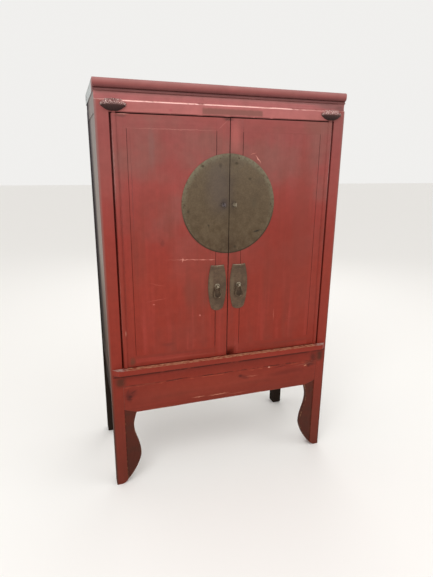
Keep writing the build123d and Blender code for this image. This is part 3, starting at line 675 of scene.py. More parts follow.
def dark_with_painted_sheen(tree, place):
    """Brown-black with a grey painted reflection that thins towards the rear."""
    wave = streaks(tree, place, 50 * mm, 500 * mm, "z", shift=5.0)
    split = add(tree, "ShaderNodeSeparateXYZ", {0: place})
    leaning = {0: split.outputs["Z"], 1: -0.085, 2: split.outputs["Y"]}
    depth = add(tree, "ShaderNodeMath", leaning, 0, operation="MULTIPLY_ADD")
    border = add(tree, "ShaderNodeMath", {0: wave, 1: 0.08, 2: depth}, 0, operation="MULTIPLY_ADD")
    # The grey of the front part is a painted reflection of the bright room.
    fore, aft = by_height(tree, place, front_side_stops_with_sheen), by_height(tree, place, rear_stops)
    colour = laid_over(tree, fore, aft, rising(tree, border, None, -0.10, 0.10))
    return shaded(tree, colour, streaks(tree, place, 4 * mm, 300 * mm, "z"), 0.8, 1.2)


print("the sides go from", front_side_stops_with_sheen[0][1], "up to", front_side_stops_with_sheen[-1][1])

# %% Dark lacquer
def dark_lacquer(name, side_glare_and_dust=None):
    """A pale side colour, a painted reflection mixed with dust, covers the faces that look left and right.
    Brown dust lies on the tops.

    Inside the case, where a face looks towards the middle, the wood is bare.
    """
    material, tree, place, facing = new_material(name)
    colour = dark_with_painted_sheen(tree, place)
    if side_glare_and_dust:
        # The pale side colour is a painted reflection, broken into streaks like dust.
        sideways = rising(tree, facing, "X", 0.5, 0.8, both_ways=True)
        glare_and_dust_streaks = streak_mask(tree, place, 9 * mm, 150 * mm, "y", 0.22, 0.5, shift=2.0)
        colour = laid_over(tree, colour, side_glare_and_dust, sideways, glare_and_dust_streaks)
    colour = laid_over(tree, colour, "#5d554f", rising(tree, facing, "Z", 0.5, 0.8, 0.8))
    outward = add(tree, "ShaderNodeVectorMath", {0: facing, 1: place}, 0, operation="MULTIPLY")
    inward = rising(tree, outward, "X", -0.3, -0.1, 0.0, 1.0)
    in_case = rising(tree, place, "Z", sill_bottom, sill_top)
    colour = laid_over(tree, colour, bare_wood(tree, place, "z"), inward, in_case)
    ridges = streaks(tree, place, ridge_width, ridge_length, "z", shift=0.4)
    surfaced(tree, colour, 0.8, ridges, 0.3, 0.4 * mm, Specular_IOR_Level=0.03)
    return material


side_lacquer = dark_lacquer("brown_black_lacquer_dusty")
cap_end_lacquer = dark_lacquer("brown_black_lacquer_thick_dust", "#b9bdbd")
print("side lacquers:", side_lacquer.name, cap_end_lacquer.name)

# %% Two-coloured posts
def post_lacquer(name):
    """Red in front and dark on the outer side, with the sill's patches running over."""
    material, tree, place, facing = new_material(name)
    red = marked_red(tree, place, facing, "z", low_marks, post_arris_highlight, low_patches, haze=0.35)
    corner = by_height(tree, place, corner_stops)
    rubbed = rising(tree, place, "X", post_out - 11 * mm, post_out - 1 * mm, 0.75, both_ways=True)
    red = laid_over(tree, red, corner, rubbed)
    on_leg = rising(tree, place, "Z", 330 * mm, 420 * mm, 0.0, 0.7)
    by_bracket = rising(tree, place, "X", post_in + 1 * mm, post_in + 12 * mm, 0.0, 1.0, both_ways=True)
    red = laid_over(tree, red, "#56271b", on_leg, by_bracket)
    behind_corner = rising(tree, place, "Y", front + 4 * mm, front + 45 * mm)
    side = laid_over(tree, corner, dark_with_painted_sheen(tree, place), behind_corner)
    on_side = rising(tree, place, "X", post_out - 1.4 * mm, post_out - 0.5 * mm, both_ways=True)
    sheen = rising(tree, place, "X", post_out - 2.5 * mm, post_out - 1 * mm, 0.02, 0.14, both_ways=True)
    brushed(tree, place, "z", laid_over(tree, red, side, on_side), sheen)
    return material


corner_lacquer = post_lacquer("red_lacquer_on_posts")
print("posts:", corner_lacquer.name)

# %% [markdown]
# ## Bare softwood and the dark carved wood
#
# Inside and behind, the boards are planed fir that has darkened to a dull brown, with growth
# rings drawn out along the board. The leg brackets are darker, a maroon-brown. The two
# carved caps over the pivots are nearly black, with the pale ground showing on every petal that
# was rubbed.

# %% Fir boards
def planed_fir(name, grain):
    material, tree, place, _ = new_material(name)
    rings = streaks(tree, place, 9 * mm, 700 * mm, grain)
    ringed = add(tree, "ShaderNodeMapRange", {"Value": rings, "From Min": 0.35, "From Max": 0.65}, 0)
    colour = laid_over(tree, linear("#5c4330"), "#846347", ringed)
    colour = laid_over(tree, colour, "#3a2d25", cloud(tree, place, 220 * mm, 0.45, 0.7, most=0.5))
    surfaced(tree, colour, 0.75, rings, 0.4, 0.5 * mm)
    return material


fir_upright, fir_level, fir_deep = [
    planed_fir(f"planed_fir_{run}", grain) for run, grain in (("upright", "z"), ("level", "x"), ("deep", "y"))
]
print("fir:", fir_upright.name, fir_level.name, fir_deep.name)

# %% Brackets and carving
def rubbed_wood(name, stops, cloud_shade, rubbed_shade, patch):
    """A dark coat with a paler ground where the mesh says that it is worn."""
    material, tree, place, _ = new_material(name)
    colour = by_height(tree, place, stops, 1 * mm)
    colour = laid_over(tree, colour, cloud_shade, cloud(tree, place, 40 * mm, 0.4, 0.7, most=0.5))
    colour = rubbed_through(tree, colour, rubbed_shade, cloud(tree, place, patch, 0.49, 0.57))
    ridges = streaks(tree, place, 1.5 * mm, 30 * mm, "z")
    colour = shaded(tree, colour, ridges, 0.7, 1.3)
    surfaced(tree, colour, 0.55, ridges, 0.3, 0.4 * mm, Specular_IOR_Level=0.15)
    return material


bracket_stops = ((0.0, "#431d12"), (0.4, "#532115"))
lotus_stops = (
    (1.690, "#2e1f1d"),
    (1.706, "#3e2b29"),
    (1.711, "#5c3f3c"),
    (1.715, "#84544f"),
    (1.727, "#a16864"),
)
bracket_wood = rubbed_wood("maroon_lacquer_worn", bracket_stops, "#3e2217", "#8d6a4a", 14 * mm)
carved_wood = rubbed_wood("carved_wood_black_lacquer", lotus_stops, "#3b2725", "#f3d6d0", 3 * mm)
print("rubbed woods:", bracket_wood.name, carved_wood.name)

# %% [markdown]
# ## Tarnished brass
#
# The plates were hammered from sheet brass and have not been polished for decades. Tarnish
# takes the yellow away and leaves an olive brown, greener and paler near the upper rim, with
# darker pits and a few scratches. It is still a metal, so it keeps a dull sheen. The
# roughness is high, and the shallow hammer marks only show as soft changes in the light.

# %% Marks on the brass
plate_marks = (
    (-121, 1485, 7, 7, 0, "#3f3629", 0.8),
    (-186, 1298, 7, 9, 0, "#443a2c", 0.8),
    (-95, 1236, 6, 6, 0, "#3f3629", 0.85),
    (-42, 1489, 8, 12, 0, "#443a2c", 0.7),
    (31, 1499, 9, 7, 0, "#3f3629", 0.8),
    (94, 1435, 9, 7, 0, "#443a2c", 0.7),
    (30, 1137, 7, 7, 0, "#3f3629", 0.8),
    (136, 1204, 20, 6, 12, "#2b2620", 0.9),
    (118, 1330, 14, 26, 0, "#54493a", 0.5),
    (-45, 1400, 70, 130, 0, "#5d5250", 0.4),
    # The last three marks are painted shade round the lock eyes.
    (-26, 1326, 26, 28, 0, "#453b3b", 0.6),
    (18, 1326, 14, 24, 0, "#4a3f38", 0.6),
    (26, 1324, 16, 18, 0, "#5a4d40", 0.5),
)
# A painted shade dims the left lock eye.
eye_marks = ((-26, 1324, 16, 16, 0, "#5f5558", 0.95),)
pull_marks = tuple(
    mark for x in (-52, 52) for mark in (
        # The first two marks are a painted shadow under and inside the ring.
        (x, 914, 22, 27, 0, "#43362a", 0.5),
        (x, 919, 13, 13, 0, "#33281f", 0.35),
        (x, 1054, 30, 3.5, 0, "#ab9e88", 0.7),
        (x, 1040, 30, 5, 0, "#40352a", 0.4),
        (x - 30, 960, 12, 60, 0, "#7d6f58", 0.35),
    )
)
print(len(plate_marks), "marks on the lock plate and", len(pull_marks), "on the pulls")

# %% Verdigris and a painted shadow on the rim of the lock plate
def rim_tarnish_and_shadow(tree, place, colour, green):
    """Verdigris gathers in a band along the rim, most of all at the top.

    A painted shadow darkens the lower half of the rim's very edge.
    """
    from_centre = add(tree, "ShaderNodeVectorMath", {0: place, 1: tuple(-lock_centre)}, 0)
    reach = add(tree, "ShaderNodeVectorMath", {0: from_centre}, "Value", operation="LENGTH")
    band = rising(tree, reach, None, 0.86 * lock_radius, 0.99 * lock_radius)
    above = rising(tree, from_centre, "Z", -lock_radius, 0.8 * lock_radius)
    patchy = cloud(tree, place, 12 * mm, 0.25, 0.6, most=green)
    colour = laid_over(tree, colour, "#8d8972", band, above, patchy)
    # A painted shadow along the lower half of the rim's very edge.
    edge = rising(tree, reach, None, 0.965 * lock_radius, 0.99 * lock_radius)
    below = rising(tree, above, None, 0.2, 0.6, 0.0, 0.8)
    return laid_over(tree, colour, "#372b20", edge, below)


print("the rim is", round(lock_radius / mm), "mm from the middle")

# %% Brass
def tarnished_brass(name, stops, shade_high, marks=(), green=0.0, roughness=0.5):
    material, tree, place, _ = new_material(name)
    mottled = cloud(tree, place, 26 * mm, 0.3, 0.7, most=0.6)
    colour = laid_over(tree, by_height(tree, place, stops), shade_high, mottled)
    grit = add(tree, "ShaderNodeTexNoise", {"Vector": place, "Scale": 1 / (6 * mm), "Detail": 4.0}, 0)
    colour = shaded(tree, colour, grit, 0.72, 1.28)
    if green:
        colour = rim_tarnish_and_shadow(tree, place, colour, green)

    # Grease from hands darkens the strip beside the seam.
    greasy = rising(tree, place, "X", 6 * mm, 60 * mm, 0.0, 0.3, both_ways=True)
    colour = laid_over(tree, colour, "#44372b", greasy, cloud(tree, place, 50 * mm, 0.3, 0.6))
    colour = with_marks(tree, place, colour, marks)
    colour = rubbed_through(tree, colour, "#a89b7c", cloud(tree, place, 8 * mm, 0.3, 0.6))
    dents = add(tree, "ShaderNodeTexNoise", {"Vector": place, "Scale": 1 / (20 * mm), "Detail": 4.0}, 0)
    surfaced(tree, colour, roughness, dents, 0.4, 0.8 * mm, Metallic=0.7)
    return material


plate_stops = ((1.12, "#4b3928"), (1.22, "#584835"), (1.4, "#5f503f"), (1.53, "#6b5e4e"))
pull_stops, ring_stops, eye_stops = ((1.0, "#574537"),), ((1.0, "#49372a"),), ((1.0, "#8c806e"),)
plate_brass = tarnished_brass("tarnished_sheet_brass", plate_stops, "#6a5a46", plate_marks, green=0.45)
pull_brass = tarnished_brass("tarnished_hammered_brass", pull_stops, "#715b48", pull_marks)
ring_brass = tarnished_brass("tarnished_cast_brass", ring_stops, "#796853", roughness=0.32)
# The eyes' pale brass is rubbed, and is also a painted highlight.
eye_brass = tarnished_brass("rubbed_cast_brass", eye_stops, "#aa9e8a", eye_marks, roughness=0.35)
print("metals:", plate_brass.name, pull_brass.name, ring_brass.name, eye_brass.name)

# %% [markdown]
# ## Worn copies of the joiner's solids
#
# A solid straight from the joinery has knife-sharp edges, which no real board has. One
# function copies a solid, merges its loose corners, eases the arrises that show with a small
# round, cuts the board across every few centimetres and lets its faces wander by a fraction of
# a millimetre, as hand-planed wood does. The faces of the round get an attribute, `worn`,
# which the lacquers read to show rubbed wood in the right places and nowhere else.
#
# A weighted-normal modifier keeps the large faces flat in the light while the rounds stay soft.

# %% Turn a mesh into a piece of the cabinet
arris_turn = math.radians(35)


def mesh_of(bm, name):
    mesh = bpy.data.meshes.new(name)
    bm.to_mesh(mesh)
    bm.free()
    return mesh


def finished(mesh, material, node):
    """Puts a mesh in the place of a node, on the same body, and hides the node."""
    mesh.shade_smooth()
    mesh.set_sharp_from_angle(angle=arris_turn)
    mesh.materials.clear()
    mesh.materials.append(material)
    piece = placed(mesh.name, mesh)
    normals = piece.modifiers.new("flat_faces_stay_flat", "WEIGHTED_NORMAL")
    normals.keep_sharp = True
    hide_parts(node)
    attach(piece, body_of[node])


print("edges over", round(math.degrees(arris_turn)), "degrees stay sharp in the light")

# %% Merge, cut and round
merge_gap = 0.01 * mm
flat_turn = math.radians(0.3)


def merged(node):
    """The node's mesh with shared corners and whole flat faces, and its layer for wear."""
    bm = bmesh.new()
    bm.from_mesh(nodes[node].data)
    bmesh.ops.remove_doubles(bm, verts=bm.verts, dist=merge_gap)
    bmesh.ops.dissolve_limit(bm, angle_limit=flat_turn, verts=bm.verts, edges=bm.edges)
    return bm, bm.faces.layers.float.new("worn")


def cut_at(bm, axis, level):
    """Cuts every face along the plane where this axis has this level."""
    normal = Vector([float(index == axis) for index in range(3)])
    everything = bm.verts[:] + bm.edges[:] + bm.faces[:]
    bmesh.ops.bisect_plane(
        bm, geom=everything, dist=merge_gap, plane_co=normal * level, plane_no=normal,
    )


def cut_across(bm, axis, spacing):
    levels = [vertex.co[axis] for vertex in bm.verts]
    low, high = min(levels), max(levels)
    count = int((high - low) / spacing)
    for step in range(1, count):
        cut_at(bm, axis, low + (high - low) * step / count)


def ease(bm, edges, radius, wear, worn, segments=3):
    """Rounds edges and marks the new faces as worn."""
    rounded = bmesh.ops.bevel(
        bm, geom=edges, offset=radius, offset_type="OFFSET", segments=segments, profile=0.5, affect="EDGES",
        clamp_overlap=True,
    )
    for face in rounded["faces"]:
        face[worn] = wear


def sharp_edges(bm, shows):
    return [
        edge for edge in bm.edges
        if len(edge.link_faces) == 2 and edge.is_convex and edge.calc_face_angle() > arris_turn
        and all(shows(vertex.co) for vertex in edge.verts)
    ]


print("corners closer than", merge_gap / mm, "mm are one")

# %% Worn copies
front_skin = 5.5 * mm  # an edge up to this far behind the front plane still shows
drift_scale = 9.0  # of the noise that lets the faces wander, per metre


def everywhere(point):
    return True


def nowhere(point):
    return False


def on_front(point):
    """True near the front plane, clear of the mortises behind it."""
    return point.y < front + front_skin


def longest_axis(node):
    low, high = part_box(node)
    return max(range(3), key=lambda index: high[index] - low[index])


def worn_copy(
    node, material, radius, shows=on_front, wear=0.3, spacing=50 * mm, wander=0.35 * mm, splits=(), bare=None,
    first=None,
):
    """Makes a copy of a node with eased arrises.

    `splits` are extra cuts as (axis, level), `bare` says how far a face is rubbed to the wood, and
    `first` is (a rule for edges, a radius) for edges that get a larger round before the rest.
    """
    bm, worn = merged(node)
    if first:
        ease(bm, sharp_edges(bm, first[0]), first[1], wear, worn, 4)
    ease(bm, sharp_edges(bm, shows), radius, wear, worn)
    for axis, level in splits:
        cut_at(bm, axis, level)
    axis = longest_axis(node)
    cut_across(bm, axis, spacing)
    for face in bm.faces:
        face[worn] = max(face[worn], bare(face)) if bare else face[worn]
    low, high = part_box(node)
    for vertex in bm.verts:
        drift = noise.noise_vector(vertex.co * drift_scale) * wander
        drift[axis] = 0.0
        vertex.co = [min(max(value, least), most) for value, least, most in zip(vertex.co + drift, low, high)]
    finished(mesh_of(bm, f"{node}_worn"), material, node)


print("worn_copy ready")

# %% [markdown]
# ## Posts, rails and apron
#
# The posts, the top rail, the sill with its lip, the apron and the brackets carry the outline
# of the cabinet. The lip of the sill is rubbed hardest: its whole top is bare, and most of all
# at its ends. The feet have lost their outer corners to a century of being dragged. The upper
# arris of the top rail, under the set-back board above it, is rounded, and its pale line is a
# rubbed edge with a painted highlight.

# %% Which faces and edges get more wear
near = 1 * mm  # a point this close to a face is on it
lip_crown, cap_nose, cap_roll = 6 * mm, 37 * mm, 20 * mm


def lip_top(face):
    """The sill's lip is bare wood on top."""
    centre = face.calc_center_median()
    on_top = face.normal.z > 0.35 and centre.y < front + near and centre.z > sill_top - lip_crown
    return 1.0 if on_top else 0.0


def foot_corner(point):
    """The outer and front edges under a front foot."""
    return point.z < near and (abs(point.x) > post_out - near or point.y < front + near)


def rail_arris(point):
    """The upper front edge of the top rail."""
    return point.z > rail_high.z - near and point.y < front + near


def cap_end(point):
    """The outline of the cap's rounded ends, in front of the roll's crown."""
    ahead = point.y < front + cap_roll
    return ahead and abs(point.x) > cap_high.x - near and point.z > cap_high.z - cap_nose


def bracket_rim(point):
    return point.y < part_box("left_leg_bracket")[0].y + near / 2


print("the lip is bare", round(lip_crown / mm), "mm down from its top")

# %% Make the frame's visible timbers
for side in ("left", "right"):
    worn_copy(f"{side}_front_post", corner_lacquer, 1.6 * mm, wear=0.22, first=(foot_corner, 9 * mm))
    worn_copy(f"{side}_leg_bracket", bracket_wood, 2.0 * mm, shows=bracket_rim, wear=0.8)
    worn_copy(f"{side}_door_meeting_stile", door_lacquer, 0.9 * mm, wear=0.15)
    worn_copy(f"{side}_door_panel", door_lacquer, 0.5 * mm, wear=0.1)
worn_copy("top_front_rail", rail_lacquer, 1.5 * mm, wear=0.0, first=(rail_arris, 4.5 * mm))
worn_copy(
    "sill_rail", sill_lacquer, 2.2 * mm, wear=0.25, spacing=12 * mm, wander=0.7 * mm,
    splits=((1, front + 0.5 * mm),), bare=lip_top,
)
worn_copy("front_apron", sill_lacquer, 1.8 * mm, wear=0.12, spacing=24 * mm, wander=0.8 * mm)
worn_copy(
    "front_cap", rail_lacquer, 1.0 * mm, shows=everywhere, wear=0.0, wander=0.3 * mm,
    first=(cap_end, 7 * mm),
)
worn_copy("front_waist", rail_lacquer, 0.5 * mm, shows=nowhere, wander=0.2 * mm)

# %% [markdown]
# ## Geometry Nodes for what repeats
#
# Petals and nail heads repeat by a rule, which is the work of Geometry Nodes: one small mesh is
# instanced at many places, each a little different. `tree_with` starts a tree and gives it
# named inputs, `planted` ends it, and `grown` runs it on a mesh and keeps the result as a plain
# mesh, so that nothing has to be worked out again later.

# %% Three helpers for Geometry Nodes
def tree_with(name, inputs):
    """A geometry tree with named inputs, given as {name: socket type}."""
    tree = bpy.data.node_groups.new(name, "GeometryNodeTree")
    for label, kind in {"Geometry": "NodeSocketGeometry", **inputs}.items():
        tree.interface.new_socket(label, in_out="INPUT", socket_type=kind)
    tree.interface.new_socket("Geometry", in_out="OUTPUT", socket_type="NodeSocketGeometry")
    return tree, tree.nodes.new("NodeGroupInput").outputs


def planted(tree, given, points, rotation, scale):
    """Sets the seed mesh on points, makes the copies real, paints them and ends the tree."""
    inputs = {"Points": points, "Instance": given["Geometry"], "Rotation": rotation, "Scale": scale}
    copies = add(tree, "GeometryNodeInstanceOnPoints", inputs, 0)
    real = add(tree, "GeometryNodeRealizeInstances", {"Geometry": copies}, 0)
    painted = add(tree, "GeometryNodeSetMaterial", {"Geometry": real, "Material": given["Material"]}, 0)
    add(tree, "NodeGroupOutput", {0: painted})
    return tree


def grown(name, mesh, tree, values):
    """Runs a tree on a mesh and returns the result as a plain mesh."""
    seed = placed(f"{name}_seed", mesh)
    modifier = seed.modifiers.new("grow", "NODES")
    modifier.node_group = tree
    sockets = {item.name: item.identifier for item in tree.interface.items_tree if item.in_out == "INPUT"}
    for label, value in values.items():
        modifier[sockets[label]] = value
    bpy.context.view_layer.update()
    grown_up = seed.evaluated_get(bpy.context.evaluated_depsgraph_get())
    result = bpy.data.meshes.new_from_object(grown_up)
    result.name = name
    bpy.data.objects.remove(seed)
    return result


print("geometry helpers ready")

# %% [markdown]
# ## Carved lotus caps
#
# The upper pivots of the doors turn in two half-round blocks on the top rail. Their carver
# turned a bowl, cut upright lobes round it and carved four rows of small overlapping petals
# over its upper half, like the calyx of a lotus.
#
# The bowl is a profile swept through half a turn, where a cosine presses the lobes into its
# lower half. One petal is a small bulged leaf. A Geometry Nodes tree sets petals out on a grid
# of rows and columns and bends that grid round the bowl: a grid's points are numbered row by
# row, so the row is the whole part of index / columns, and the column is what is left. Every
# second row moves by half a petal, as roof tiles do. The sums stand in a list, where each line
# names what it works out, and one loop turns every line into a node.

# %% The bowl
lotus_low, lotus_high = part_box("right_pivot_cap")
lotus_radius = (lotus_high.x - lotus_low.x) / 2
lotus_x = (lotus_high.x + lotus_low.x) / 2
lotus_projection = lotus_high.y - lotus_low.y
lotus_height = lotus_high.z - lotus_low.z
bowl_profile = (  # share of the radius, share of the height
    (0.0, 0.04), (0.28, 0.04), (0.44, 0.10), (0.60, 0.19), (0.75, 0.30), (0.88, 0.42), (0.97, 0.54),
    (0.98, 0.62), (0.94, 0.70), (0.86, 0.79), (0.74, 0.87), (0.50, 0.95), (0.0, 0.99),
)
lobes, lobe_depth, lobe_steps = 13, 0.14, 6
lobe_root, lobe_top = 0.3, 0.6  # shares of the radius and the height between which the lobes lie


def lotus_bowl(bm, centre_x):
    """Adds a closed half bowl whose flat back stands on the front plane."""
    columns = lobe_steps * lobes
    rows = []
    for share, level in bowl_profile:
        z = lotus_low.z + level * lotus_height
        lobed = lobe_depth * max(0.0, 1 - level / lobe_top) * (share > lobe_root)
        row = []
        for column in range(columns + 1):
            angle = math.pi * column / columns
            reach = share * (1 - lobed * (0.5 - 0.5 * math.cos(2 * lobes * angle)))
            x = centre_x + reach * lotus_radius * math.cos(angle)
            row.append(bm.verts.new((x, front - reach * lotus_projection * math.sin(angle), z)))
        rows.append(row)
    for lower, upper in zip(rows, rows[1:]):
        for column in range(columns):
            bm.faces.new((lower[column + 1], lower[column], upper[column], upper[column + 1]))
    bm.faces.new([row[0] for row in rows] + [row[-1] for row in reversed(rows)])
    bmesh.ops.remove_doubles(bm, verts=bm.verts, dist=merge_gap)
    bmesh.ops.recalc_face_normals(bm, faces=bm.faces)


print(f"lotus {2 * lotus_radius:.4f} wide, {lotus_projection:.4f} deep, {lotus_height:.4f} tall")

# %% One petal
petal_width, petal_height = 8.5 * mm, 10.5 * mm
petal_bulge, petal_curl = 2.0 * mm, 1.6 * mm
petal_tip, petal_hollow = 0.5 * mm, 0.4 * mm
petal_steps = 4  # faces across a petal, and along it
tip_wear, root_wear = 0.95, 0.3


def petal_sheet(bm, inner):
    """The points of a petal's front or inner side, in rows from its root up."""
    sheet = []
    for up in range(petal_steps + 1):
        level = up / petal_steps
        pointed = (1 - level ** 2.4) ** 0.6 * (0.8 + 0.2 * math.sin(math.pi * level))
        half = max(petal_width / 2 * pointed, petal_tip)
        domed = petal_bulge * math.sin(math.pi * (0.2 + 0.6 * level))
        row = []
        for over in range(petal_steps + 1):
            across = 2 * over / petal_steps - 1
            y = petal_hollow if inner else -domed * (1 - across ** 2)
            row.append(bm.verts.new((across * half, y - petal_curl * level ** 2, level * petal_height)))
        sheet.append(row)
    return sheet


def petal_mesh():
    """A leaf that stands on the origin, bulges towards -Y, and is worn at its tip."""
    bm = bmesh.new()
    worn = bm.faces.layers.float.new("worn")
    outer, inner = petal_sheet(bm, False), petal_sheet(bm, True)
    steps = range(petal_steps)
    for up in steps:
        for over in steps:
            corners = ((up, over), (up, over + 1), (up + 1, over + 1), (up + 1, over))
            face = bm.faces.new([outer[i][j] for i, j in corners])
            face[worn] = tip_wear if up >= petal_steps / 2 else root_wear
            bm.faces.new([inner[i][j] for i, j in reversed(corners)])
    rim = [(0, step) for step in steps] + [(step, petal_steps) for step in steps]
    rim += [(petal_steps - i, petal_steps - j) for i, j in rim]
    for (i, j), (after_i, after_j) in zip(rim, rim[1:] + rim[:1]):
        bm.faces.new((outer[after_i][after_j], outer[i][j], inner[i][j], inner[after_i][after_j]))
    bmesh.ops.recalc_face_normals(bm, faces=bm.faces)
    return mesh_of(bm, "petal")


print("a petal is", round(petal_width / mm), "by", round(petal_height / mm), "mm")

# %% The sums that set petals out
petal_sums = (  # a name, an operation, and its terms: numbers, inputs of the tree or earlier names
    ("turns", "DIVIDE", "index", "Columns"),
    ("row", "FLOOR", "turns"),
    ("column", "MODULO", "index", "Columns"),
    ("odd row", "MODULO", "row", 2.0),
    ("shifted", "MULTIPLY_ADD", "odd row", 0.5, "column"),
    ("centred", "ADD", "shifted", 0.25),
    ("share", "DIVIDE", "centred", "Columns"),
    ("angle", "MULTIPLY", "share", math.pi),
    ("cosine", "COSINE", "angle"),
    ("sine", "SINE", "angle"),
    ("inset", "MULTIPLY", "row", "Row Inset"),
    ("reach", "SUBTRACT", 1.0, "inset"),
    ("half width", "MULTIPLY", "Half Width", "reach"),
    ("x", "MULTIPLY", "cosine", "half width"),
    ("projection", "MULTIPLY", "Projection", "reach"),
    ("forward", "MULTIPLY", "sine", "projection"),
    ("y", "MULTIPLY", "forward", -1.0),
    ("below the middle", "SUBTRACT", "sine", 1.0),
    ("arched", "MULTIPLY", "below the middle", "Arch"),
    ("z", "MULTIPLY_ADD", "row", "Row Rise", "arched"),
    # A petal faces -Y, so it turns by the direction of the ellipse's outward normal plus a quarter.
    ("normal x", "DIVIDE", "cosine", "Half Width"),
    ("normal back", "DIVIDE", "sine", "Projection"),
    ("normal y", "MULTIPLY", "normal back", -1.0),
    ("direction", "ARCTAN2", "normal y", "normal x"),
    ("turned", "ADD", "direction", math.pi / 2),
    ("lean", "ADD", "Lean", "wobble"),
    ("fuller in front", "MULTIPLY_ADD", "sine", 0.5, 0.5),
    ("size", "MULTIPLY", "random size", "fuller in front"),
)
print("sums in the petal tree:", len(petal_sums))

# %% The tree that sets petals out
def petal_tree():
    """Rows of petals round half an ellipse."""
    tree, given = tree_with("lotus_petals", {
        "Columns": "NodeSocketInt",
        "Rows": "NodeSocketInt",
        **dict.fromkeys(("Half Width", "Projection", "Row Rise"), "NodeSocketFloat"),
        **dict.fromkeys(("Row Inset", "Arch", "Lean"), "NodeSocketFloat"),
        "Centre": "NodeSocketVector",
        "Material": "NodeSocketMaterial",
    })
    known = {socket.name: socket for socket in given}
    known["index"] = add(tree, "GeometryNodeInputIndex", out=0)
    for name, low, high, seed in (("wobble", -0.09, 0.09, 5), ("random size", 0.85, 1.08, 9)):
        limits = {2: low, 3: high, "Seed": seed}
        known[name] = add(tree, "FunctionNodeRandomValue", limits, 1, data_type="FLOAT")
    for name, operation, *terms in petal_sums:
        inputs = {number: known.get(term, term) for number, term in enumerate(terms)}
        known[name] = add(tree, "ShaderNodeMath", inputs, 0, operation=operation)

    size = {"Vertices X": given["Rows"], "Vertices Y": given["Columns"]}
    grid = add(tree, "GeometryNodeMeshGrid", size, "Mesh")
    spot = add(tree, "ShaderNodeCombineXYZ", {0: known["x"], 1: known["y"], 2: known["z"]}, 0)
    place = add(tree, "ShaderNodeVectorMath", {0: spot, 1: given["Centre"]}, 0)
    bent = add(tree, "GeometryNodeSetPosition", {"Geometry": grid, "Position": place}, 0)
    turn = add(tree, "ShaderNodeCombineXYZ", {0: known["lean"], 1: known["wobble"], 2: known["turned"]}, 0)
    return planted(tree, given, bent, turn, known["size"])


lotus_tree = petal_tree()
print("nodes in the petal tree:", len(lotus_tree.nodes))

# %% Grow both lotus caps
petal_columns, petal_rows = 15, 4
petal_root = 4 * mm  # the petals' roots stand this far inside the bowl
calyx_level = 0.56  # the lowest row stands at this share of the cap's height
rubbed_level, bowl_wear = 0.55, 0.3  # above this share of the height the bowl is rubbed too

for side, sign in (("left", -1), ("right", 1)):
    petals = grown(f"{side}_petals", petal_mesh(), lotus_tree, {
        "Columns": petal_columns,
        "Rows": petal_rows,
        "Half Width": lotus_radius - petal_root,
        "Projection": lotus_projection - petal_root,
        "Row Rise": 5.5 * mm,
        "Row Inset": 0.11,
        "Arch": 6 * mm,
        "Lean": math.radians(16),
        "Centre": (sign * lotus_x, front, lotus_low.z + calyx_level * lotus_height),
        "Material": carved_wood,
    })
    bm = bmesh.new()
    lotus_bowl(bm, sign * lotus_x)
    rubbed = bm.faces.layers.float.new("worn")
    for face in bm.faces:
        high_up = face.calc_center_median().z > lotus_low.z + rubbed_level * lotus_height
        face[rubbed] = bowl_wear if high_up else 0.0
    bm.from_mesh(petals)
    for vertex in bm.verts:  # the petals' roots and ends stop at the front plane and under the waist
        vertex.co.y = min(vertex.co.y, front)
        vertex.co.z = min(vertex.co.z, lotus_high.z)
    finished(mesh_of(bm, f"{side}_lotus_cap"), carved_wood, f"{side}_pivot_cap")
print("petals on each cap:", petal_rows * petal_columns)

# %% [markdown]
# ## Brass plates
#
# The lock plate was cut from sheet and hammered flat on a stump, so it is full of shallow
# dents, and its rim was filed round. The pull plates were hammered a little hollow from behind,
# so they swell towards their middle. Both get a grid of cuts first, because a dent needs
# vertices to move. Only the front moves: the back lies on the door.

# %% Hammered plates
plate_skin = 0.2 * mm  # how far behind a plate's front its rim starts
dent_scale = 32.0  # of the noise that dents the plates, per metre


def hammered(node, brass, spacing, rim, dent, swell=0.0):
    """Rounds a plate's rim and dents its front by up to `dent`. `swell` lifts its middle."""
    bm, worn = merged(node)
    low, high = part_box(node)
    in_front = low.y + plate_skin
    ease(bm, sharp_edges(bm, lambda point: point.y < in_front), rim, 0.25, worn)
    for axis in (0, 2):
        cut_across(bm, axis, spacing)
    middle, half = (low + high) / 2, (high - low) / 2
    for vertex in bm.verts:
        if vertex.co.y < middle.y:
            x, z = (vertex.co.x - middle.x) / half.x, (vertex.co.z - middle.z) / half.z
            bulge = swell * max(0.0, 1 - x * x) * max(0.0, 1 - z * z)
            vertex.co.y -= bulge + dent * (0.5 + 0.5 * noise.noise(vertex.co * dent_scale))
    finished(mesh_of(bm, f"{node}_hammered"), brass, node)


def filed(node, brass, radius, wear):
    """Rounds the front edges of a casting."""
    bm, worn = merged(node)
    ease(bm, sharp_edges(bm, lambda point: point.y < front - 0.5 * mm), radius, wear, worn)
    finished(mesh_of(bm, f"{node}_filed"), brass, node)


for side in ("left", "right"):
    hammered(f"{side}_lock_plate", plate_brass, 13 * mm, 0.6 * mm, 0.5 * mm)
    hammered(f"{side}_pull_plate", pull_brass, 9 * mm, 0.8 * mm, 0.4 * mm, swell=1.2 * mm)
    filed(f"{side}_pull_eye", eye_brass, 1.3 * mm, 0.5)
    # A ring's rounded edges are fully worn: their pale brass is rubbed and is also a painted highlight.
    filed(f"{side}_pull_ring", ring_brass, 1.2 * mm, 1.0)
print("plates, eyes and rings done")

# %% [markdown]
# ## Nail heads
#
# Each plate is held by small cast nails with domed heads. Their places are read from the
# frame: every nail there is one closed island of the mesh, and the middle of the island is
# where its head goes. A short tree instances one dome at each place and turns it a little, with
# a fixed seed, so no two heads are alike.

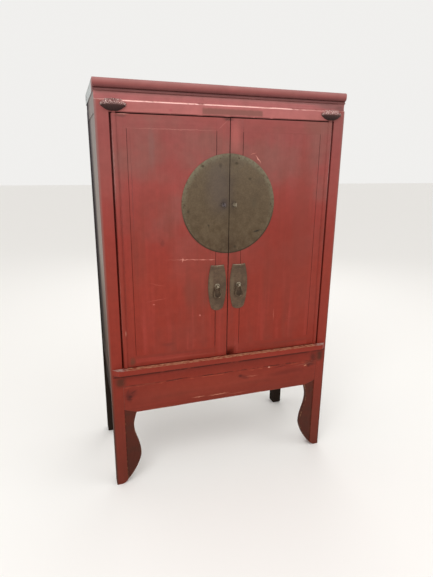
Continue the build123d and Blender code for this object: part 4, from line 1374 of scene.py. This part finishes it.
# %% Find the nails in the frame
def islands(mesh):
    """The boxes (low, high) of a mesh's separate closed parts."""
    bm = bmesh.new()
    bm.from_mesh(mesh)
    bmesh.ops.remove_doubles(bm, verts=bm.verts, dist=merge_gap)
    left, found = set(bm.verts), []
    while left:
        group, waiting = [], [left.pop()]
        while waiting:
            vertex = waiting.pop()
            group.append(vertex.co.copy())
            for edge in vertex.link_edges:
                other = edge.other_vert(vertex)
                if other in left:
                    left.remove(other)
                    waiting.append(other)
        low = Vector([min(point[axis] for point in group) for axis in range(3)])
        high = Vector([max(point[axis] for point in group) for axis in range(3)])
        found.append((low, high))
    bm.free()
    return sorted(found, key=lambda box: (box[0].z, box[0].x))


nails_of = {side: islands(nodes[f"{side}_door_nails"].data) for side in ("left", "right")}
print({side: len(boxes) for side, boxes in nails_of.items()})

# %% One nail head
nail_dome = (  # share of the radius, share of the height
    (0.0, 1.0), (0.45, 0.92), (0.75, 0.7), (0.94, 0.35), (1.0, 0.0), (0.4, 0.0),
)
nail_height, shank_share, shank_length = 1.2 * mm, 0.3, 1.2 * mm
nail_sides = 14


def nail_head(radius):
    """A dome that rises towards -Y from the origin and has a short shank behind it."""
    bm = bmesh.new()
    profile = [(share * radius, -level * nail_height) for share, level in nail_dome]
    profile += [(shank_share * radius, shank_length), (0.0, shank_length)]
    turns = [2 * math.pi * step / nail_sides for step in range(nail_sides)]
    rings = []
    for reach, y in profile:
        rings.append([bm.verts.new((reach * math.cos(turn), y, reach * math.sin(turn))) for turn in turns])
    for first, second in zip(rings, rings[1:]):
        for step in range(nail_sides):
            after = (step + 1) % nail_sides
            bm.faces.new((first[step], first[after], second[after], second[step]))
    bmesh.ops.remove_doubles(bm, verts=bm.verts, dist=merge_gap)
    bmesh.ops.recalc_face_normals(bm, faces=bm.faces)
    return mesh_of(bm, "nail_head")


print("nail heads stand", round(nail_height / mm, 1), "mm proud")

# %% Grow the nail heads
def nail_tree():
    inputs = {"Places": "NodeSocketObject", "Material": "NodeSocketMaterial"}
    tree, given = tree_with("nail_heads", inputs)
    places = add(tree, "GeometryNodeObjectInfo", {"Object": given["Places"]}, "Geometry")
    turn = add(tree, "FunctionNodeRandomValue", {2: -0.12, 3: 0.12, "Seed": 3}, 1, data_type="FLOAT")
    size = add(tree, "FunctionNodeRandomValue", {2: 0.88, 3: 1.0, "Seed": 4}, 1, data_type="FLOAT")
    turned = add(tree, "ShaderNodeCombineXYZ", {0: turn, 2: turn}, 0)
    return planted(tree, given, places, turned, size)


nail_maker = nail_tree()
for side, boxes in nails_of.items():
    head_radius = (boxes[0][1].x - boxes[0][0].x) / 2
    middles = [((low.x + high.x) / 2, low.y + nail_height, (low.z + high.z) / 2) for low, high in boxes]
    spots = bpy.data.meshes.new(f"{side}_nail_places")
    spots.from_pydata(middles, [], [])
    marker = placed(f"{side}_nail_places", spots)
    values = {"Places": marker, "Material": ring_brass}
    heads = grown(f"{side}_nail_heads", nail_head(head_radius), nail_maker, values)
    bpy.data.objects.remove(marker)
    finished(heads, ring_brass, f"{side}_door_nails")
    print(side, "nails:", len(boxes), "of radius", round(head_radius / mm, 1), "mm")

# %% [markdown]
# ## Finishes of the solids that stay as they are
#
# Panels, rear posts, shelf and battens are plain boards, and most of them are seldom seen. Their
# solids stay as the joiner made them and only change their material. The grain of a board runs
# along it, so fir comes in three directions: upright, level, and from front to back.

# %% Finish the plain solids
plain_finishes = {
    door_rail_lacquer: ("door_top_rail", "door_bottom_rail"),
    door_lacquer: ("door_pivot_stile",),
    side_lacquer: (
        "rear_post", "top_rail", "bottom_rail", "apron", "side_panel", "waist", "rear_waist",
    ),
    cap_end_lacquer: ("cap", "rear_cap"),
    fir_upright: ("back_panel",),
    fir_level: ("top_rear_rail", "bottom_rear_rail", "floor_panel", "shelf", "door_battens", "top_panel"),
    fir_deep: ("shelf_bearer",),
    eye_brass: ("lock_eye",),
}
for material, endings in plain_finishes.items():
    for node, piece in nodes.items():
        if not piece.hide_render and node.removeprefix("left_").removeprefix("right_") in endings:
            for surface in piece.material_slots:
                surface.material = material
print("finished:", sum(not piece.hide_render for piece in nodes.values()), "solids kept")
